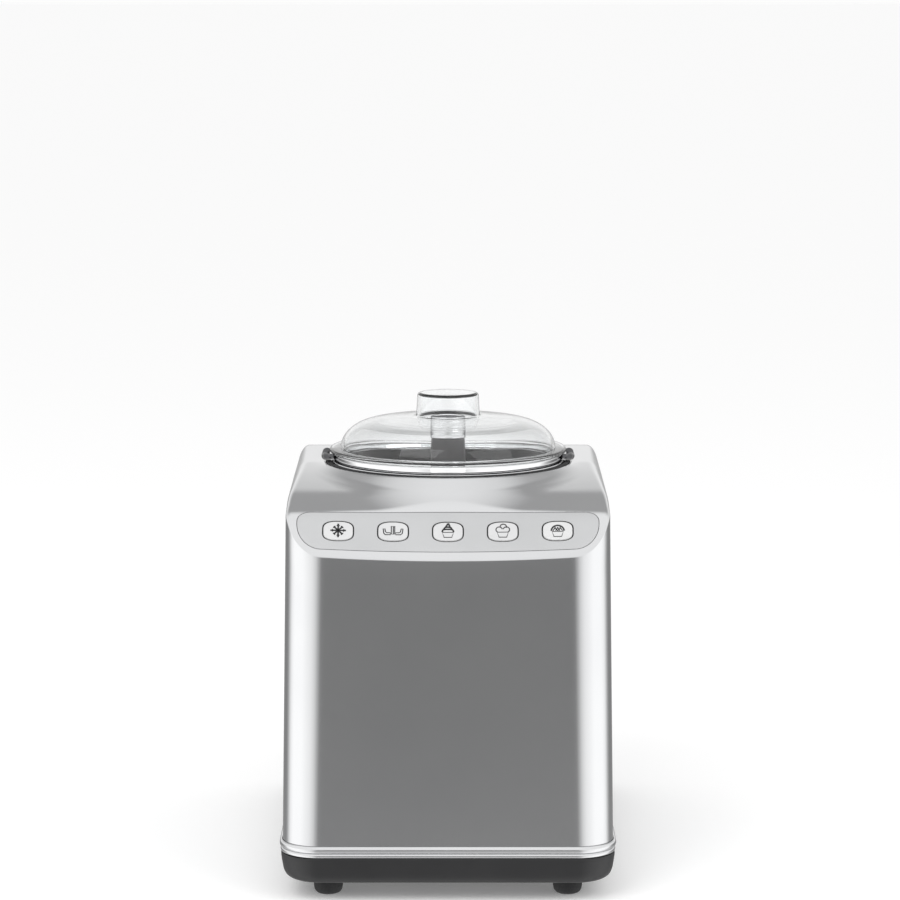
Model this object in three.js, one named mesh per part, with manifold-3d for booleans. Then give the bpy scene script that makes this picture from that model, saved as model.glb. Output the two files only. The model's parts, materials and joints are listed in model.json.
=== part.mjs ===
// A counter-top compressor ice cream maker: a long satin steel body with a cold well in its deck, a
// lift-out bowl, a driven paddle with its cap, and a clear lid, with the drive and the cooling circuit
// inside. Units are millimetres, +Z is up, +Y points to the back, and the origin is on the counter under
// the middle of the body's foot print. Every piece is where it is when the machine is closed and ready.
import * as THREE from "three";
import { mergeVertices } from "three/addons/utils/BufferGeometryUtils.js";
import Module from "manifold-3d";

const wasm = await Module();
wasm.setup();

// ---------------------------------------------------------------- driving dimensions
const GAP = 0.3; // between pieces that touch
const SLACK = 0.8; // round a piece that lifts in and out

// Body.
const BODY_WIDTH = 226; // steel shell at its foot
const BODY_DEPTH = 356;
const DECK_Z = 283.5; // top of the collar round the well
const CORNER_R = 25; // plan corners of the body
const DRAFT = 3.3; // each wall leans in by this much at the deck
const WALL = 2; // shell
const BASE_TOP = 31; // top of the plastic base
const BASE_BOTTOM = 12.5;
const BASE_PROUD = 1.1; // base beyond the foot of the shell
const BASE_WALL = 3;
const TRIM_HEIGHT = 8.4; // bright bead round the foot of the shell
const TRIM_PROUD = 2;
const FOOT_R = 10;

// Top of the body: fascia slope, brow above it, deck and the fall to the back.
const FASCIA_ANGLE = 50; // degrees above horizontal
const FASCIA_FOOT_Z = 238.2; // where the fascia slope leaves the front wall, in the middle
const FASCIA_BOW = 4.4; // and this much higher at the sides
const BROW_ANGLE = 19;
const BROW_RISE = 26.3; // the brow starts this much above the fascia's foot
const BROW_BLEND = 1.5; // softness of the bend between brow and deck
const COLLAR_PROUD = 1.2; // collar above the deck
const COLLAR_SLOPE = 0.62; // flare of the collar, drop over run
const SHOULDER = { run: 11, drop: 16 }; // rounding of the side and back edges
const FRONT_EDGE = { run: 5, drop: 4 }; // rounding under the fascia
const NOSE = { slope: 0.05, curve: 0.0005 }; // fall of the deck ahead of the well's axis
const TAIL = { start: 52, slope: 0.1, curve: 0.0012 }; // fall of the deck behind the well

// Well, bowl and lid, all on one upright axis.
const AXIS_Y = -36;
const BOWL_R = 73.9; // outside of the bowl's wall
const BOWL_HEIGHT = 80;
const BOWL_WALL = 1.2;
const BOWL_CORNER = 9;
const RIM_WIDTH = 7.1; // bowl rim, beyond its wall
const RIM_HEIGHT = 5;
const WELL_WALL = 1.2;
const WELL_RIM = 4.4; // flat steel rim of the well
const GASKET_WIDTH = 3.8;
const LID_OVERHANG = 2.5; // lid beyond the bowl's rim
const LID_WALL = 2.2;
const LID_RISE = 24.3; // dome above the flange's mid plane
const KNOB = { foot: 22.75, top: 21.5, rise: 40.3, edge: 2.6 };
const HANDLE = { length: 26, curl: 2.9 };

// Drive post, paddle and cap.
const SHAFT_R = 4.8;
const SHAFT_TOP = 309;
const TOWER_R = 8.6;
const DOG_INSET = 1.4; // toothed dog inside the edge of the post
const MOTOR_SHAFT_R = 3;
const FLAT = 0.9; // depth of the two flats that drive the paddle
const PIN_R = 3; // axle of the idler gear
const CHIMNEY_WALL = 0.8;
const CHIMNEY_PROUD = 6.5; // above the bowl's rim
const HUB_HEIGHTS = { foot_z: 9.9, step_z: 89.2, top_z: 100.3 };
const BLADE_THICK = 3.2;
const BLADE_TILT = 16; // degrees that each lower blade leans, so it ploughs
const CAP_WALL = 2.5;
const CAP_ROOF = 1.9;

// Controls.
const BUTTON = { width: 20.8, height: 15.3, pitch: 36.9, travel: 1.2, proud: 0.7 };
const FASCIA = { width: 203, height: 30.7, top_r: 9, foot_r: 20, foot_run: 16, bow: 2, thick: 2.5 };

// Gearing of the paddle drive.
const GEAR_MODULE = 1.5;
const TEETH = { output: 48, idler_small: 12, idler_large: 36, pinion: 12 };
const GEAR_FACE = 7;

// Cooling circuit.
const COMPRESSOR_R = 57;
const COMPRESSOR_HEIGHT = 132;
const COIL_TUBE_R = 3.8;
const COIL_TURNS = 5;
const COIL_SIDES = 14; // straight stretches in each turn
const INSULATION = 14;
const FAN_R = 46;
const CONDENSER = { thick: 20, width: 112, height: 112, fins: 7 };
const PIPE_R = 3;
const CAPILLARY_R = 1.4;

// ---------------------------------------------------------------- sizes that follow from them
const RAD = Math.PI / 180;
const ROUND = 24; // sides of the large round pieces
const HALF_W = BODY_WIDTH / 2;
const HALF_D = BODY_DEPTH / 2;
const TRIM_TOP = BASE_TOP + TRIM_HEIGHT;
const WELL_R = BOWL_R + SLACK + 0.2; // inside of the well's wall
const WELL_MOUTH = WELL_R + 2.4;
const WELL_RIM_R = WELL_MOUTH + WELL_RIM;
const GASKET_R = WELL_RIM_R + GAP + GASKET_WIDTH;
const HOLE_R = GASKET_R + GAP;
const WELL_RIM_Z = DECK_Z + 0.9;
const RIM_FOOT = WELL_RIM_Z + GAP; // underside of the bowl's rim
const RIM_TOP = RIM_FOOT + RIM_HEIGHT;
const BOWL_FOOT = RIM_TOP - BOWL_HEIGHT;
const WELL_FLOOR = BOWL_FOOT - 2;
const RIM_R = BOWL_R + RIM_WIDTH;
const LEDGE_Z = RIM_FOOT + BOWL_WALL; // step inside the rim where the lid's skirt stands
const LEDGE_R = RIM_R - 4;
const LID_R = RIM_R + LID_OVERHANG;
const TOWER_TOP = RIM_TOP - 1.5;
const DOG_R = TOWER_R - DOG_INSET;
const DOG_TOP = TOWER_TOP + 9.4;
const CHIMNEY_R = TOWER_R + 0.4 + CHIMNEY_WALL;
const CHIMNEY_TOP = RIM_TOP + CHIMNEY_PROUD;
const PADDLE_FOOT = BOWL_FOOT + BOWL_WALL + 1.4;
const PADDLE_R = BOWL_R - BOWL_WALL - 1;
const HUB_BORE_TOP = CHIMNEY_R + 0.45;
const HUB = {
  ...HUB_HEIGHTS,
  foot: CHIMNEY_R + 4.75,
  top: CHIMNEY_R + 1.8,
  step_r: CHIMNEY_R - 0.4,
};
const CAP = { r: HUB.top + 0.6, wall: CAP_WALL, roof: CAP_ROOF };
const BUSH = { r: CHIMNEY_R + 1.9, height: 12 };
const FLATS_FOOT = CHIMNEY_TOP + 3; // flats of the drive shaft
const FLANGE_Z = RIM_TOP + GAP + 1.6; // middle of the lid's flange
const GEAR_TOP = WELL_FLOOR - INSULATION - 12; // top of the gears
const BACK_WALL = HALF_D - WALL;
const COMPRESSOR_X = -HALF_W + WALL + 18 + COMPRESSOR_R;
const COMPRESSOR_Y = BACK_WALL - 24 - COMPRESSOR_R;
const BASE_INSIDE = BASE_BOTTOM + 3; // floor of the base, inside
const COMPRESSOR_FOOT = BASE_INSIDE + 16;
const COIL_FOOT = WELL_FLOOR + 8;
const COIL_TOP = COIL_FOOT + COIL_TURNS * (2 * COIL_TUBE_R + 0.8);
const COIL_R = (WELL_R + WELL_WALL + GAP + COIL_TUBE_R) / Math.cos(Math.PI / COIL_SIDES);
const JACKET = {
  inner: (COIL_R + COIL_TUBE_R + 3) / Math.cos(Math.PI / ROUND),
  outer: COIL_R + COIL_TUBE_R + 2 + INSULATION,
};
const COIL_PORT = { x: 12, y: JACKET.outer + 3 };
const PORTS = {
  discharge: [COMPRESSOR_X + 30, COMPRESSOR_Y - 20, COMPRESSOR_FOOT + COMPRESSOR_HEIGHT],
  suction: [COMPRESSOR_X - 30, COMPRESSOR_Y - 20, COMPRESSOR_FOOT + COMPRESSOR_HEIGHT],
  drier: [HALF_W - 40, 10, 96],
};
const CONDENSER_X = HALF_W - DRAFT - WALL - 4 - CONDENSER.thick / 2;
const CONDENSER_Y = BACK_WALL - 22 - CONDENSER.width / 2;
const CONDENSER_Z = BASE_TOP + 12 + CONDENSER.height / 2;
const condenserPort = (row) => [
  CONDENSER_X, CONDENSER_Y - CONDENSER.width / 2 - 2, CONDENSER_Z + (row * CONDENSER.height) / 4,
];
PORTS.condenser_in = condenserPort(1.5);
PORTS.condenser_out = condenserPort(-1.5);

// Rubber feet of the compressor's plate, as [x, y, radius] from its middle.
function grommetsAt(radius) {
  const [x, y] = [COMPRESSOR_R * 0.86, COMPRESSOR_R * 0.8];
  return [[-x, -y, radius], [x, -y, radius], [0, COMPRESSOR_R * 1.06, radius]];
}

// ---------------------------------------------------------------- solids and meshes
function solid(geometry) {
  const bare = new THREE.BufferGeometry();
  bare.setAttribute("position", geometry.getAttribute("position"));
  if (geometry.index) bare.setIndex(geometry.index);
  const merged = mergeVertices(bare, 1e-4);
  const all = merged.index.array;
  const kept = [];
  for (let i = 0; i < all.length; i += 3) {
    const [a, b, c] = [all[i], all[i + 1], all[i + 2]];
    if (a !== b && b !== c && c !== a) kept.push(a, b, c);
  }
  const build = (triVerts) =>
    new wasm.Manifold(
      new wasm.Mesh({
        numProp: 3,
        vertProperties: merged.attributes.position.array,
        triVerts: new Uint32Array(triVerts),
      }),
    );
  const made = build(kept);
  return made.volume() < 0 ? build(kept.reverse()) : made;
}

function geometryOf(made) {
  const mesh = made.getMesh();
  const points = new Float32Array(mesh.numVert * 3);
  for (let i = 0; i < mesh.numVert; i++) {
    points.set(mesh.vertProperties.subarray(i * mesh.numProp, i * mesh.numProp + 3), i * 3);
  }
  const geometry = new THREE.BufferGeometry();
  geometry.setAttribute("position", new THREE.BufferAttribute(points, 3));
  geometry.setIndex(new THREE.BufferAttribute(mesh.triVerts, 1));
  geometry.computeVertexNormals();
  return geometry;
}

const union = (...solids) => solids.reduce((sum, next) => sum.add(next));
const cut = (from, ...tools) => tools.reduce((left, tool) => left.subtract(tool), from);
const placed = (geometry, x, y, z) => solid(geometry.translate(x, y, z));

function box(wide, deep, tall, x, y, z) {
  return placed(new THREE.BoxGeometry(wide, deep, tall), x, y, z);
}

function rod(radius, from, to, x = 0, y = AXIS_Y, sides = 28) {
  const turned = new THREE.CylinderGeometry(radius, radius, to - from, sides).rotateX(Math.PI / 2);
  return placed(turned, x, y, (from + to) / 2);
}

function ring(outer, inner, from, to, x = 0, y = AXIS_Y, sides = 28) {
  return cut(rod(outer, from, to, x, y, sides), rod(inner, from - 1, to + 1, x, y, sides));
}

// A profile of [radius, z] pairs turned about an upright axis. Its first and last points are on the axis,
// or it closes on itself.
function turned(profile, sides, x = 0, y = AXIS_Y) {
  const onAxis = profile[0][0] === 0 && profile.at(-1)[0] === 0;
  const points = (onAxis ? profile : [...profile, profile[0]]).map(([r, z]) => new THREE.Vector2(r, z));
  return placed(new THREE.LatheGeometry(points, sides).rotateX(Math.PI / 2), x, y, 0);
}

// Points on an arc in a profile, from one angle to another in degrees.
function arc(r, z, radius, from, to, steps, tall = radius) {
  return Array.from({ length: steps + 1 }, (_, i) => {
    const angle = (from + ((to - from) * i) / steps) * RAD;
    return [r + radius * Math.cos(angle), z + tall * Math.sin(angle)];
  });
}

function extruded(points, depth) {
  const shape = new THREE.Shape(points.map(([x, y]) => new THREE.Vector2(x, y)));
  return new THREE.ExtrudeGeometry(shape, { depth, bevelEnabled: false });
}

function pipe(points, radius, steps, sides = 8) {
  const section = Array.from({ length: sides }, (_, i) => {
    const angle = (2 * Math.PI * i) / sides;
    return new THREE.Vector2(radius * Math.cos(angle), radius * Math.sin(angle));
  });
  const path = new THREE.CatmullRomCurve3(points.map((p) => new THREE.Vector3(...p)), false, "centripetal");
  return solid(new THREE.ExtrudeGeometry(new THREE.Shape(section), { steps, extrudePath: path }));
}

// ---------------------------------------------------------------- the body's outer form
const smoothMin = (a, b, k) => {
  const h = Math.max(k - Math.abs(a - b), 0) / k;
  return Math.min(a, b) - (h * h * k) / 4;
};
const smoothMax = (a, b, k) => -smoothMin(-a, -b, k);

// Height of the top surface over a point of the plan, before its edges are rounded.
function topHeight(x, y) {
  const frontY = -HALF_D + DRAFT;
  const bow = FASCIA_BOW * (x / HALF_W) ** 2;
  const fascia = FASCIA_FOOT_Z + bow + Math.tan(FASCIA_ANGLE * RAD) * (y - frontY);
  const browY = frontY + BROW_RISE / Math.tan(FASCIA_ANGLE * RAD);
  const brow = FASCIA_FOOT_Z + BROW_RISE + Math.tan(BROW_ANGLE * RAD) * (y - browY);
  const fall = ({ slope, curve }, run) => slope * Math.max(0, run) + curve * Math.max(0, run) ** 2;
  const deck = DECK_Z - COLLAR_PROUD - fall(NOSE, AXIS_Y - y) - fall(TAIL, y - TAIL.start);
  const beyond = Math.max(0, Math.hypot(x, y - AXIS_Y) - HOLE_R - 1.5);
  const collar = DECK_Z - COLLAR_SLOPE * beyond;
  const blend = Math.min(COLLAR_PROUD + 0.3 * beyond, 5);
  return smoothMin(fascia, smoothMax(smoothMin(brow, deck, BROW_BLEND), collar, blend), 4);
}

// The rounded rectangle of the plan, from the middle of the front edge, with each point's outward normal.
function outline(halfW, halfD, radius, steps) {
  const points = [];
  const edge = (x0, y0, x1, y1, n, nx, ny) => {
    for (let i = 0; i < n; i++) {
      points.push({ x: x0 + ((x1 - x0) * i) / n, y: y0 + ((y1 - y0) * i) / n, nx, ny });
    }
  };
  const corner = (cx, cy, start) => {
    for (let i = 0; i < steps.corner; i++) {
      const angle = (start + (90 * i) / steps.corner) * RAD;
      const [nx, ny] = [Math.cos(angle), Math.sin(angle)];
      points.push({ x: cx + radius * nx, y: cy + radius * ny, nx, ny });
    }
  };
  const [w, d] = [halfW - radius, halfD - radius];
  edge(0, -halfD, w, -halfD, steps.end / 2, 0, -1);
  corner(w, -d, -90);
  edge(halfW, -d, halfW, d, steps.side, 1, 0);
  corner(w, d, 0);
  edge(w, halfD, -w, halfD, steps.end, 0, 1);
  corner(-w, d, 90);
  edge(-halfW, d, -halfW, -d, steps.side, -1, 0);
  corner(-w, -d, 180);
  edge(-w, -halfD, 0, -halfD, steps.end / 2, 0, -1);
  return points;
}

// Closed solid from loops of equal length, capped by a fan at each end.
function skinned(loops) {
  const n = loops[0].length;
  const points = [];
  const triangles = [];
  loops.forEach((loop) => loop.forEach((p) => points.push(...p)));
  for (let j = 0; j + 1 < loops.length; j++) {
    for (let i = 0; i < n; i++) {
      const [a, b] = [j * n + i, j * n + ((i + 1) % n)];
      triangles.push(a, b, b + n, a, b + n, a + n);
    }
  }
  [0, loops.length - 1].forEach((j) => {
    const centre = loops[j].reduce((sum, p) => sum.map((v, k) => v + p[k] / n), [0, 0, 0]);
    const tip = points.length / 3;
    points.push(...centre);
    for (let i = 0; i < n; i++) {
      const [a, b] = [j * n + i, j * n + ((i + 1) % n)];
      triangles.push(...(j ? [a, b, tip] : [b, a, tip]));
    }
  });
  const geometry = new THREE.BufferGeometry();
  geometry.setAttribute("position", new THREE.BufferAttribute(new Float32Array(points), 3));
  geometry.setIndex(triangles);
  return solid(geometry);
}

const BODY_STEPS = { end: 4, side: 5, corner: 4 };

// The whole volume under the body's skin, or under a skin that lies deeper by inset.
function bodyForm(inset, foot) {
  const low = outline(HALF_W - inset, HALF_D - inset, CORNER_R - inset, BODY_STEPS);
  const high = outline(HALF_W - DRAFT - inset, HALF_D - DRAFT - inset, CORNER_R - inset, BODY_STEPS);
  const edgeOf = (p) => {
    const front = Math.min(1, Math.max(0, (AXIS_Y - p.y) / (HALF_D - DRAFT - CORNER_R + AXIS_Y))) ** 1.5;
    const mix = (side, face) => side + (face - side) * front;
    return {
      run: mix(SHOULDER.run, FRONT_EDGE.run) - inset / 2,
      drop: mix(SHOULDER.drop, FRONT_EDGE.drop) - inset / 2,
    };
  };
  const onTop = (p, inward) => {
    const { run, drop } = edgeOf(p);
    const reach = Math.hypot(p.x, p.y - AXIS_Y);
    const share = inward / reach;
    const [x, y] = [p.x - p.x * share, p.y - (p.y - AXIS_Y) * share];
    const depth = Math.max(0, 1 - inward / run);
    const down = drop * (1 - Math.sqrt(Math.max(0, 1 - depth * depth)));
    return [x, y, topHeight(x, y) - inset - down];
  };
  const loops = [low.map((p) => [p.x, p.y, foot])];
  [0, 0.08, 0.3, 1].forEach((share) => {
    loops.push(high.map((p) => onTop(p, edgeOf(p).run * share)));
  });
  const inner = HOLE_R + 1.5;
  [0.3, 0.58, 0.8, 1].forEach((share) => {
    loops.push(
      high.map((p) => {
        const span = Math.hypot(p.x, p.y - AXIS_Y) - inner - edgeOf(p).run;
        return onTop(p, edgeOf(p).run + span * share);
      }),
    );
  });
  loops.push(high.map((p) => onTop(p, Math.hypot(p.x, p.y - AXIS_Y) - 30)));
  return skinned(loops);
}

// ---------------------------------------------------------------- the sloping control panel
// Places a flat shape, drawn with x across and y up the slope, on the fascia with its normal outwards.
const FASCIA_MIDDLE = 0.546; // share of the slope's height where the fascia is centred
function onFascia(geometry) {
  const rise = FASCIA_MIDDLE * BROW_RISE;
  const y = -HALF_D + DRAFT + rise / Math.tan(FASCIA_ANGLE * RAD);
  return geometry.rotateX(FASCIA_ANGLE * RAD).translate(0, y, FASCIA_FOOT_Z + rise);
}

function fasciaOutline(grow) {
  const [w, h] = [FASCIA.width / 2 + grow, FASCIA.height / 2 + grow];
  const [top, foot, run] = [FASCIA.top_r + grow, FASCIA.foot_r + grow, FASCIA.foot_run + grow];
  const line = [
    ...arc(w - top, h - top, top, 0, 90, 5),
    ...arc(-w + top, h - top, top, 90, 180, 5),
    ...arc(-w + run, -h + foot, run, 180, 270, 5, foot),
    [0, -h],
    ...arc(w - run, -h + foot, run, 270, 360, 5, foot),
  ];
  return line.map(([x, y]) => [x, y + (FASCIA.bow * (x / w) ** 2 * (h - y)) / (2 * h)]);
}

// A key's outline: bowed top and bottom edges, rounder sides.
function keyOutline(grow, steps = 16) {
  const [w, h] = [BUTTON.width / 2 + grow, BUTTON.height / 2 + grow];
  return Array.from({ length: steps }, (_, i) => {
    const angle = (2 * Math.PI * (i + 0.5)) / steps;
    const [c, s] = [Math.cos(angle), Math.sin(angle)];
    const power = 2 / 3.6;
    const x = w * Math.sign(c) * Math.abs(c) ** power;
    const bowed = 0.86 + 0.14 * Math.cos((Math.PI * x) / (2 * w));
    return [x, h * bowed * Math.sign(s) * Math.abs(s) ** power];
  });
}

const BUTTON_NAMES = ["chill", "churn", "gelato", "ice_cream", "granita"];
const buttonX = (i) => (i - (BUTTON_NAMES.length - 1) / 2) * BUTTON.pitch;

function panelPrism(points, from, to, x = 0) {
  const swell = FASCIA_BOW * Math.cos(FASCIA_ANGLE * RAD) * (x / HALF_W) ** 2;
  const tilt = x === 0 ? 0 : Math.atan((2 * swell) / x);
  const prism = extruded(points, to - from).translate(0, 0, from);
  return solid(onFascia(prism.rotateY(-tilt).translate(x, 0, swell)));
}

function controlFascia() {
  const skin = cut(bodyForm(0, TRIM_TOP), bodyForm(FASCIA.thick, BASE_TOP));
  const plate = skin.intersect(panelPrism(fasciaOutline(0), -20, 20));
  const holes = BUTTON_NAMES.map((_, i) => panelPrism(keyOutline(GAP + 0.1), -20, 20, buttonX(i)));
  return cut(plate, ...holes);
}

function button(i) {
  const crown = panelPrism(keyOutline(0), -FASCIA.thick - 1, BUTTON.proud, buttonX(i));
  const stem = panelPrism(arc(0, 0, 2.2, 0, 315, 7), -FASCIA.thick - 3.4, -FASCIA.thick - 0.5, buttonX(i));
  return union(crown, stem);
}

function buttonBoard() {
  const top = -FASCIA.thick - 3.4 - BUTTON.travel - 0.5;
  const half = [2 * BUTTON.pitch + 12, 11];
  const plate = [[-half[0], -half[1]], [half[0], -half[1]], [half[0], half[1]], [-half[0], half[1]]];
  const key = [[-3, -3], [3, -3], [3, 3], [-3, 3]];
  const switches = BUTTON_NAMES.map((_, i) => panelPrism(key, top - 4, top, buttonX(i)));
  return union(panelPrism(plate, top - 4, top - 2.4), ...switches);
}

// ---------------------------------------------------------------- body pieces
const VENT = { slots: 7, pitch: 10, wide: 4.2, tall: 46 };

function sideVents(side) {
  const x = side * (HALF_W - DRAFT / 2);
  return Array.from({ length: VENT.slots }, (_, i) => {
    const y = CONDENSER_Y + (i - (VENT.slots - 1) / 2) * VENT.pitch;
    return box(12, VENT.wide, VENT.tall, x, y, TRIM_TOP + 18 + VENT.tall / 2);
  });
}

const BACK = { width: 160, low: TRIM_TOP + 12, high: 212, lap: 7, thick: 2.2 };

function outerShell() {
  const skin = cut(bodyForm(0, BASE_TOP + GAP), bodyForm(WALL, BASE_TOP - 6));
  const tall = BACK.high - BACK.low;
  const window = box(BACK.width, 20, tall, 0, HALF_D - DRAFT, BACK.low + tall / 2);
  return cut(
    skin,
    rod(HOLE_R / Math.cos(Math.PI / ROUND), 200, 320, 0, AXIS_Y, ROUND),
    panelPrism(fasciaOutline(0.4), -20, 20),
    window,
    ...sideVents(1),
    ...sideVents(-1),
  );
}

// Sweeps a closed section of [outward, z] pairs round the plan.
function swept(section, halfW, halfD, radius) {
  const n = section.length;
  const points = [];
  const triangles = [];
  const path = outline(halfW, halfD, radius, { end: 2, side: 2, corner: BODY_STEPS.corner });
  path.forEach((p) => section.forEach(([out, z]) => points.push(p.x + p.nx * out, p.y + p.ny * out, z)));
  path.forEach((_, i) => {
    const next = (i + 1) % path.length;
    for (let j = 0; j < n; j++) {
      const k = (j + 1) % n;
      triangles.push(i * n + j, next * n + j, next * n + k, i * n + j, next * n + k, i * n + k);
    }
  });
  const geometry = new THREE.BufferGeometry();
  geometry.setAttribute("position", new THREE.BufferAttribute(new Float32Array(points), 3));
  geometry.setIndex(triangles);
  return solid(geometry);
}

// Two beads, the upper one prouder, clipped round the foot of the shell.
function trimBand() {
  const middle = BASE_TOP + 0.42 * TRIM_HEIGHT;
  const low = BASE_TOP + GAP;
  const bead = (from, to, proud) => arc(GAP, (from + to) / 2, proud - GAP, 90, -90, 4, (to - from) / 2);
  const upper = bead(middle, TRIM_TOP, TRIM_PROUD);
  const lower = bead(low, middle, 0.6 * TRIM_PROUD);
  return swept([...upper, ...lower.slice(1)], HALF_W, HALF_D, CORNER_R);
}

// A tub with leaning walls, a ledge that the shell stands on, and bosses for the feet.
function baseTray() {
  const rows = [[9, 0], [4.6, 1.6], [3, 3.4], [1.8, 5.9], [0.9, 10.8], [0, BASE_TOP - BASE_BOTTOM]];
  const steps = { end: 2, side: 2, corner: BODY_STEPS.corner };
  const form = (shrink) =>
    skinned(
      rows.map(([inward, up]) => {
        const by = inward + shrink - BASE_PROUD;
        const line = outline(HALF_W - by, HALF_D - by, CORNER_R - by / 2, steps);
        return line.map((p) => [p.x, p.y, BASE_BOTTOM + up + shrink]);
      }),
    );
  return cut(form(0), form(BASE_WALL));
}

const FOOT_AT = { x: HALF_W - 31, y: HALF_D - 30 };

function foot(sx, sy) {
  const profile = [
    [0, 0],
    ...arc(FOOT_R - 4.5, 4.5, 4.5, -90, 0, 3),
    [FOOT_R, BASE_BOTTOM - GAP],
    [0, BASE_BOTTOM - GAP],
  ];
  return turned(profile, 16, sx * FOOT_AT.x, sy * FOOT_AT.y);
}

const COVER_Y = HALF_D - DRAFT - WALL - GAP - BACK.thick / 2 - 0.5;
const GLAND = { x: -58, y: COVER_Y, z: BACK.low + 16, r: 5.9 };

// Louvred cover that closes the service opening from inside.
function backPanel() {
  const tall = BACK.high - BACK.low + 2 * BACK.lap;
  const wide = BACK.width + 2 * BACK.lap;
  const middle = (BACK.low + BACK.high) / 2;
  const plate = box(wide, BACK.thick, tall, 0, COVER_Y, middle);
  const louvres = [];
  for (let row = 0; row < 9; row++) {
    for (const side of [-1, 1]) {
      louvres.push(box(64, 10, 3.4, side * 38, COVER_Y, middle + 4 + row * 7.5));
    }
  }
  const hole = rod(GLAND.r + GAP, -10, 10, 0, 0, 20).rotate([90, 0, 0]);
  return cut(plate, ...louvres, hole.translate([GLAND.x, GLAND.y, GLAND.z]));
}

function cordGland() {
  const [r, bore, seat] = [GLAND.r, 3.6, BACK.thick / 2 + GAP];
  const profile = [[bore, -7], [r, -7], [r, seat], [r + 2.5, seat], [r + 2.1, 3.2], [r, 3.8], [bore, 3.8]];
  return turned(profile, 14, 0, 0).rotate([-90, 0, 0]).translate([GLAND.x, GLAND.y, GLAND.z]);
}

// ---------------------------------------------------------------- well, bowl and lid
function wellGasket() {
  const [outer, inner] = [GASKET_R, WELL_RIM_R + GAP];
  const top = arc((outer + inner) / 2, DECK_Z - 0.6, (outer - inner) / 2, 0, 180, 4, 1.4);
  return turned([[inner, DECK_Z - 4], [outer, DECK_Z - 4], ...top], ROUND);
}

function coolingWell() {
  const floor = WELL_FLOOR;
  const outside = [
    [TOWER_R + 5, floor - WELL_WALL],
    ...arc(WELL_R - 6, floor + 6 - WELL_WALL, 6 + WELL_WALL, -90, 0, 3, 6),
    [WELL_R + WELL_WALL, WELL_RIM_Z - 5],
    [WELL_RIM_R, WELL_RIM_Z - 5],
    [WELL_RIM_R, WELL_RIM_Z - 0.6],
    [WELL_RIM_R - 0.6, WELL_RIM_Z],
  ];
  const mouth = arc(WELL_MOUTH, WELL_RIM_Z - 2.4, 2.4, 90, 180, 3);
  const inside = [
    ...mouth,
    ...arc(WELL_R - 6, floor + 6, 6, 0, -90, 3),
    [56, floor], [55, floor + 1], [46, floor + 1], [45, floor],
    [TOWER_R + 5, floor],
  ];
  return turned([...outside, ...inside], ROUND);
}

// Fixed post that carries the drive shaft up through the bowl.
function driveTower() {
  const bore = TOWER_R - 2;
  const flange = TOWER_R + 9;
  const under = WELL_FLOOR - WELL_WALL - GAP;
  const outside = [
    [bore, under - 2.5], [flange, under - 2.5], [flange, under], [TOWER_R + 4.5, under],
    [TOWER_R + 4.5, WELL_FLOOR + 0.8], [TOWER_R, WELL_FLOOR + 1.6],
    [TOWER_R, TOWER_TOP - 1], [TOWER_R - 1, TOWER_TOP], [bore, TOWER_TOP],
  ];
  return turned(outside, 20);
}

function removableBowl() {
  const [r, wall] = [BOWL_R, BOWL_WALL];
  const hole = CHIMNEY_R - 0.1 + GAP;
  const outside = [
    [hole, BOWL_FOOT], ...arc(r - BOWL_CORNER, BOWL_FOOT + BOWL_CORNER, BOWL_CORNER, -90, 0, 4),
    [r, RIM_FOOT], [RIM_R - 0.6, RIM_FOOT], [RIM_R, RIM_FOOT + 1], [RIM_R, RIM_TOP - 1],
    [RIM_R - 1, RIM_TOP], [LEDGE_R, RIM_TOP],
  ];
  const inside = [
    [LEDGE_R, LEDGE_Z], [r - wall, LEDGE_Z],
    ...arc(r - BOWL_CORNER, BOWL_FOOT + BOWL_CORNER, BOWL_CORNER - wall, 0, -90, 4),
    [hole, BOWL_FOOT + wall],
  ];
  return turned([...outside, ...inside], ROUND);
}

// Plastic tube in the middle of the bowl, which keeps the mix away from the drive post.
function bowlChimney() {
  const [r, bore] = [CHIMNEY_R, CHIMNEY_R - CHIMNEY_WALL];
  const neck = TOWER_TOP + 0.8;
  const floor = BOWL_FOOT + BOWL_WALL + GAP;
  const outside = [
    [bore, BOWL_FOOT + 0.2], [r - 0.1, BOWL_FOOT + 0.2], [r - 0.1, floor],
    [r + 1.6, floor], [r + 1.6, floor + 0.8], [r, floor + 1.6],
    [r, CHIMNEY_TOP - 2], [r - 0.8, CHIMNEY_TOP - 0.5], [r - 2, CHIMNEY_TOP],
  ];
  const inside = [[DOG_R + 0.5, CHIMNEY_TOP], [DOG_R + 0.5, neck + 1], [bore, neck]];
  return turned([...outside, ...inside], 16);
}

// Rolled finger lug at each side of the bowl's rim, spot welded to it.
function bowlHandle(side) {
  const centre = RIM_R + GAP + 2 + HANDLE.curl;
  const z = RIM_FOOT + 0.4 + HANDLE.curl;
  const sheet = 1.1;
  const outer = arc(centre, z, HANDLE.curl, -110, 150, 9);
  const inner = arc(centre, z, HANDLE.curl - sheet, 150, -110, 9);
  const foot = [[RIM_R + GAP, z - HANDLE.curl + sheet], [RIM_R + GAP, z - HANDLE.curl]];
  const strip = extruded([...outer, ...inner, ...foot], HANDLE.length).rotateX(Math.PI / 2);
  const made = solid(strip.translate(0, AXIS_Y + HANDLE.length / 2, 0));
  return side > 0 ? made : made.mirror([1, 0, 0]);
}

// Outer line of the lid's dome: radius and height above the flange's mid plane, drawn at DOME_SIZE.
const DOME_SIZE = { r: 83.5, rise: 24.3 };
const DOME = [[75.6, 1.6], [75.2, 4.2], [72.6, 9.2], [69.6, 13.4], [64.4, 17.6], [57.6, 20.2], [42.6, 22.5]];

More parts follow.
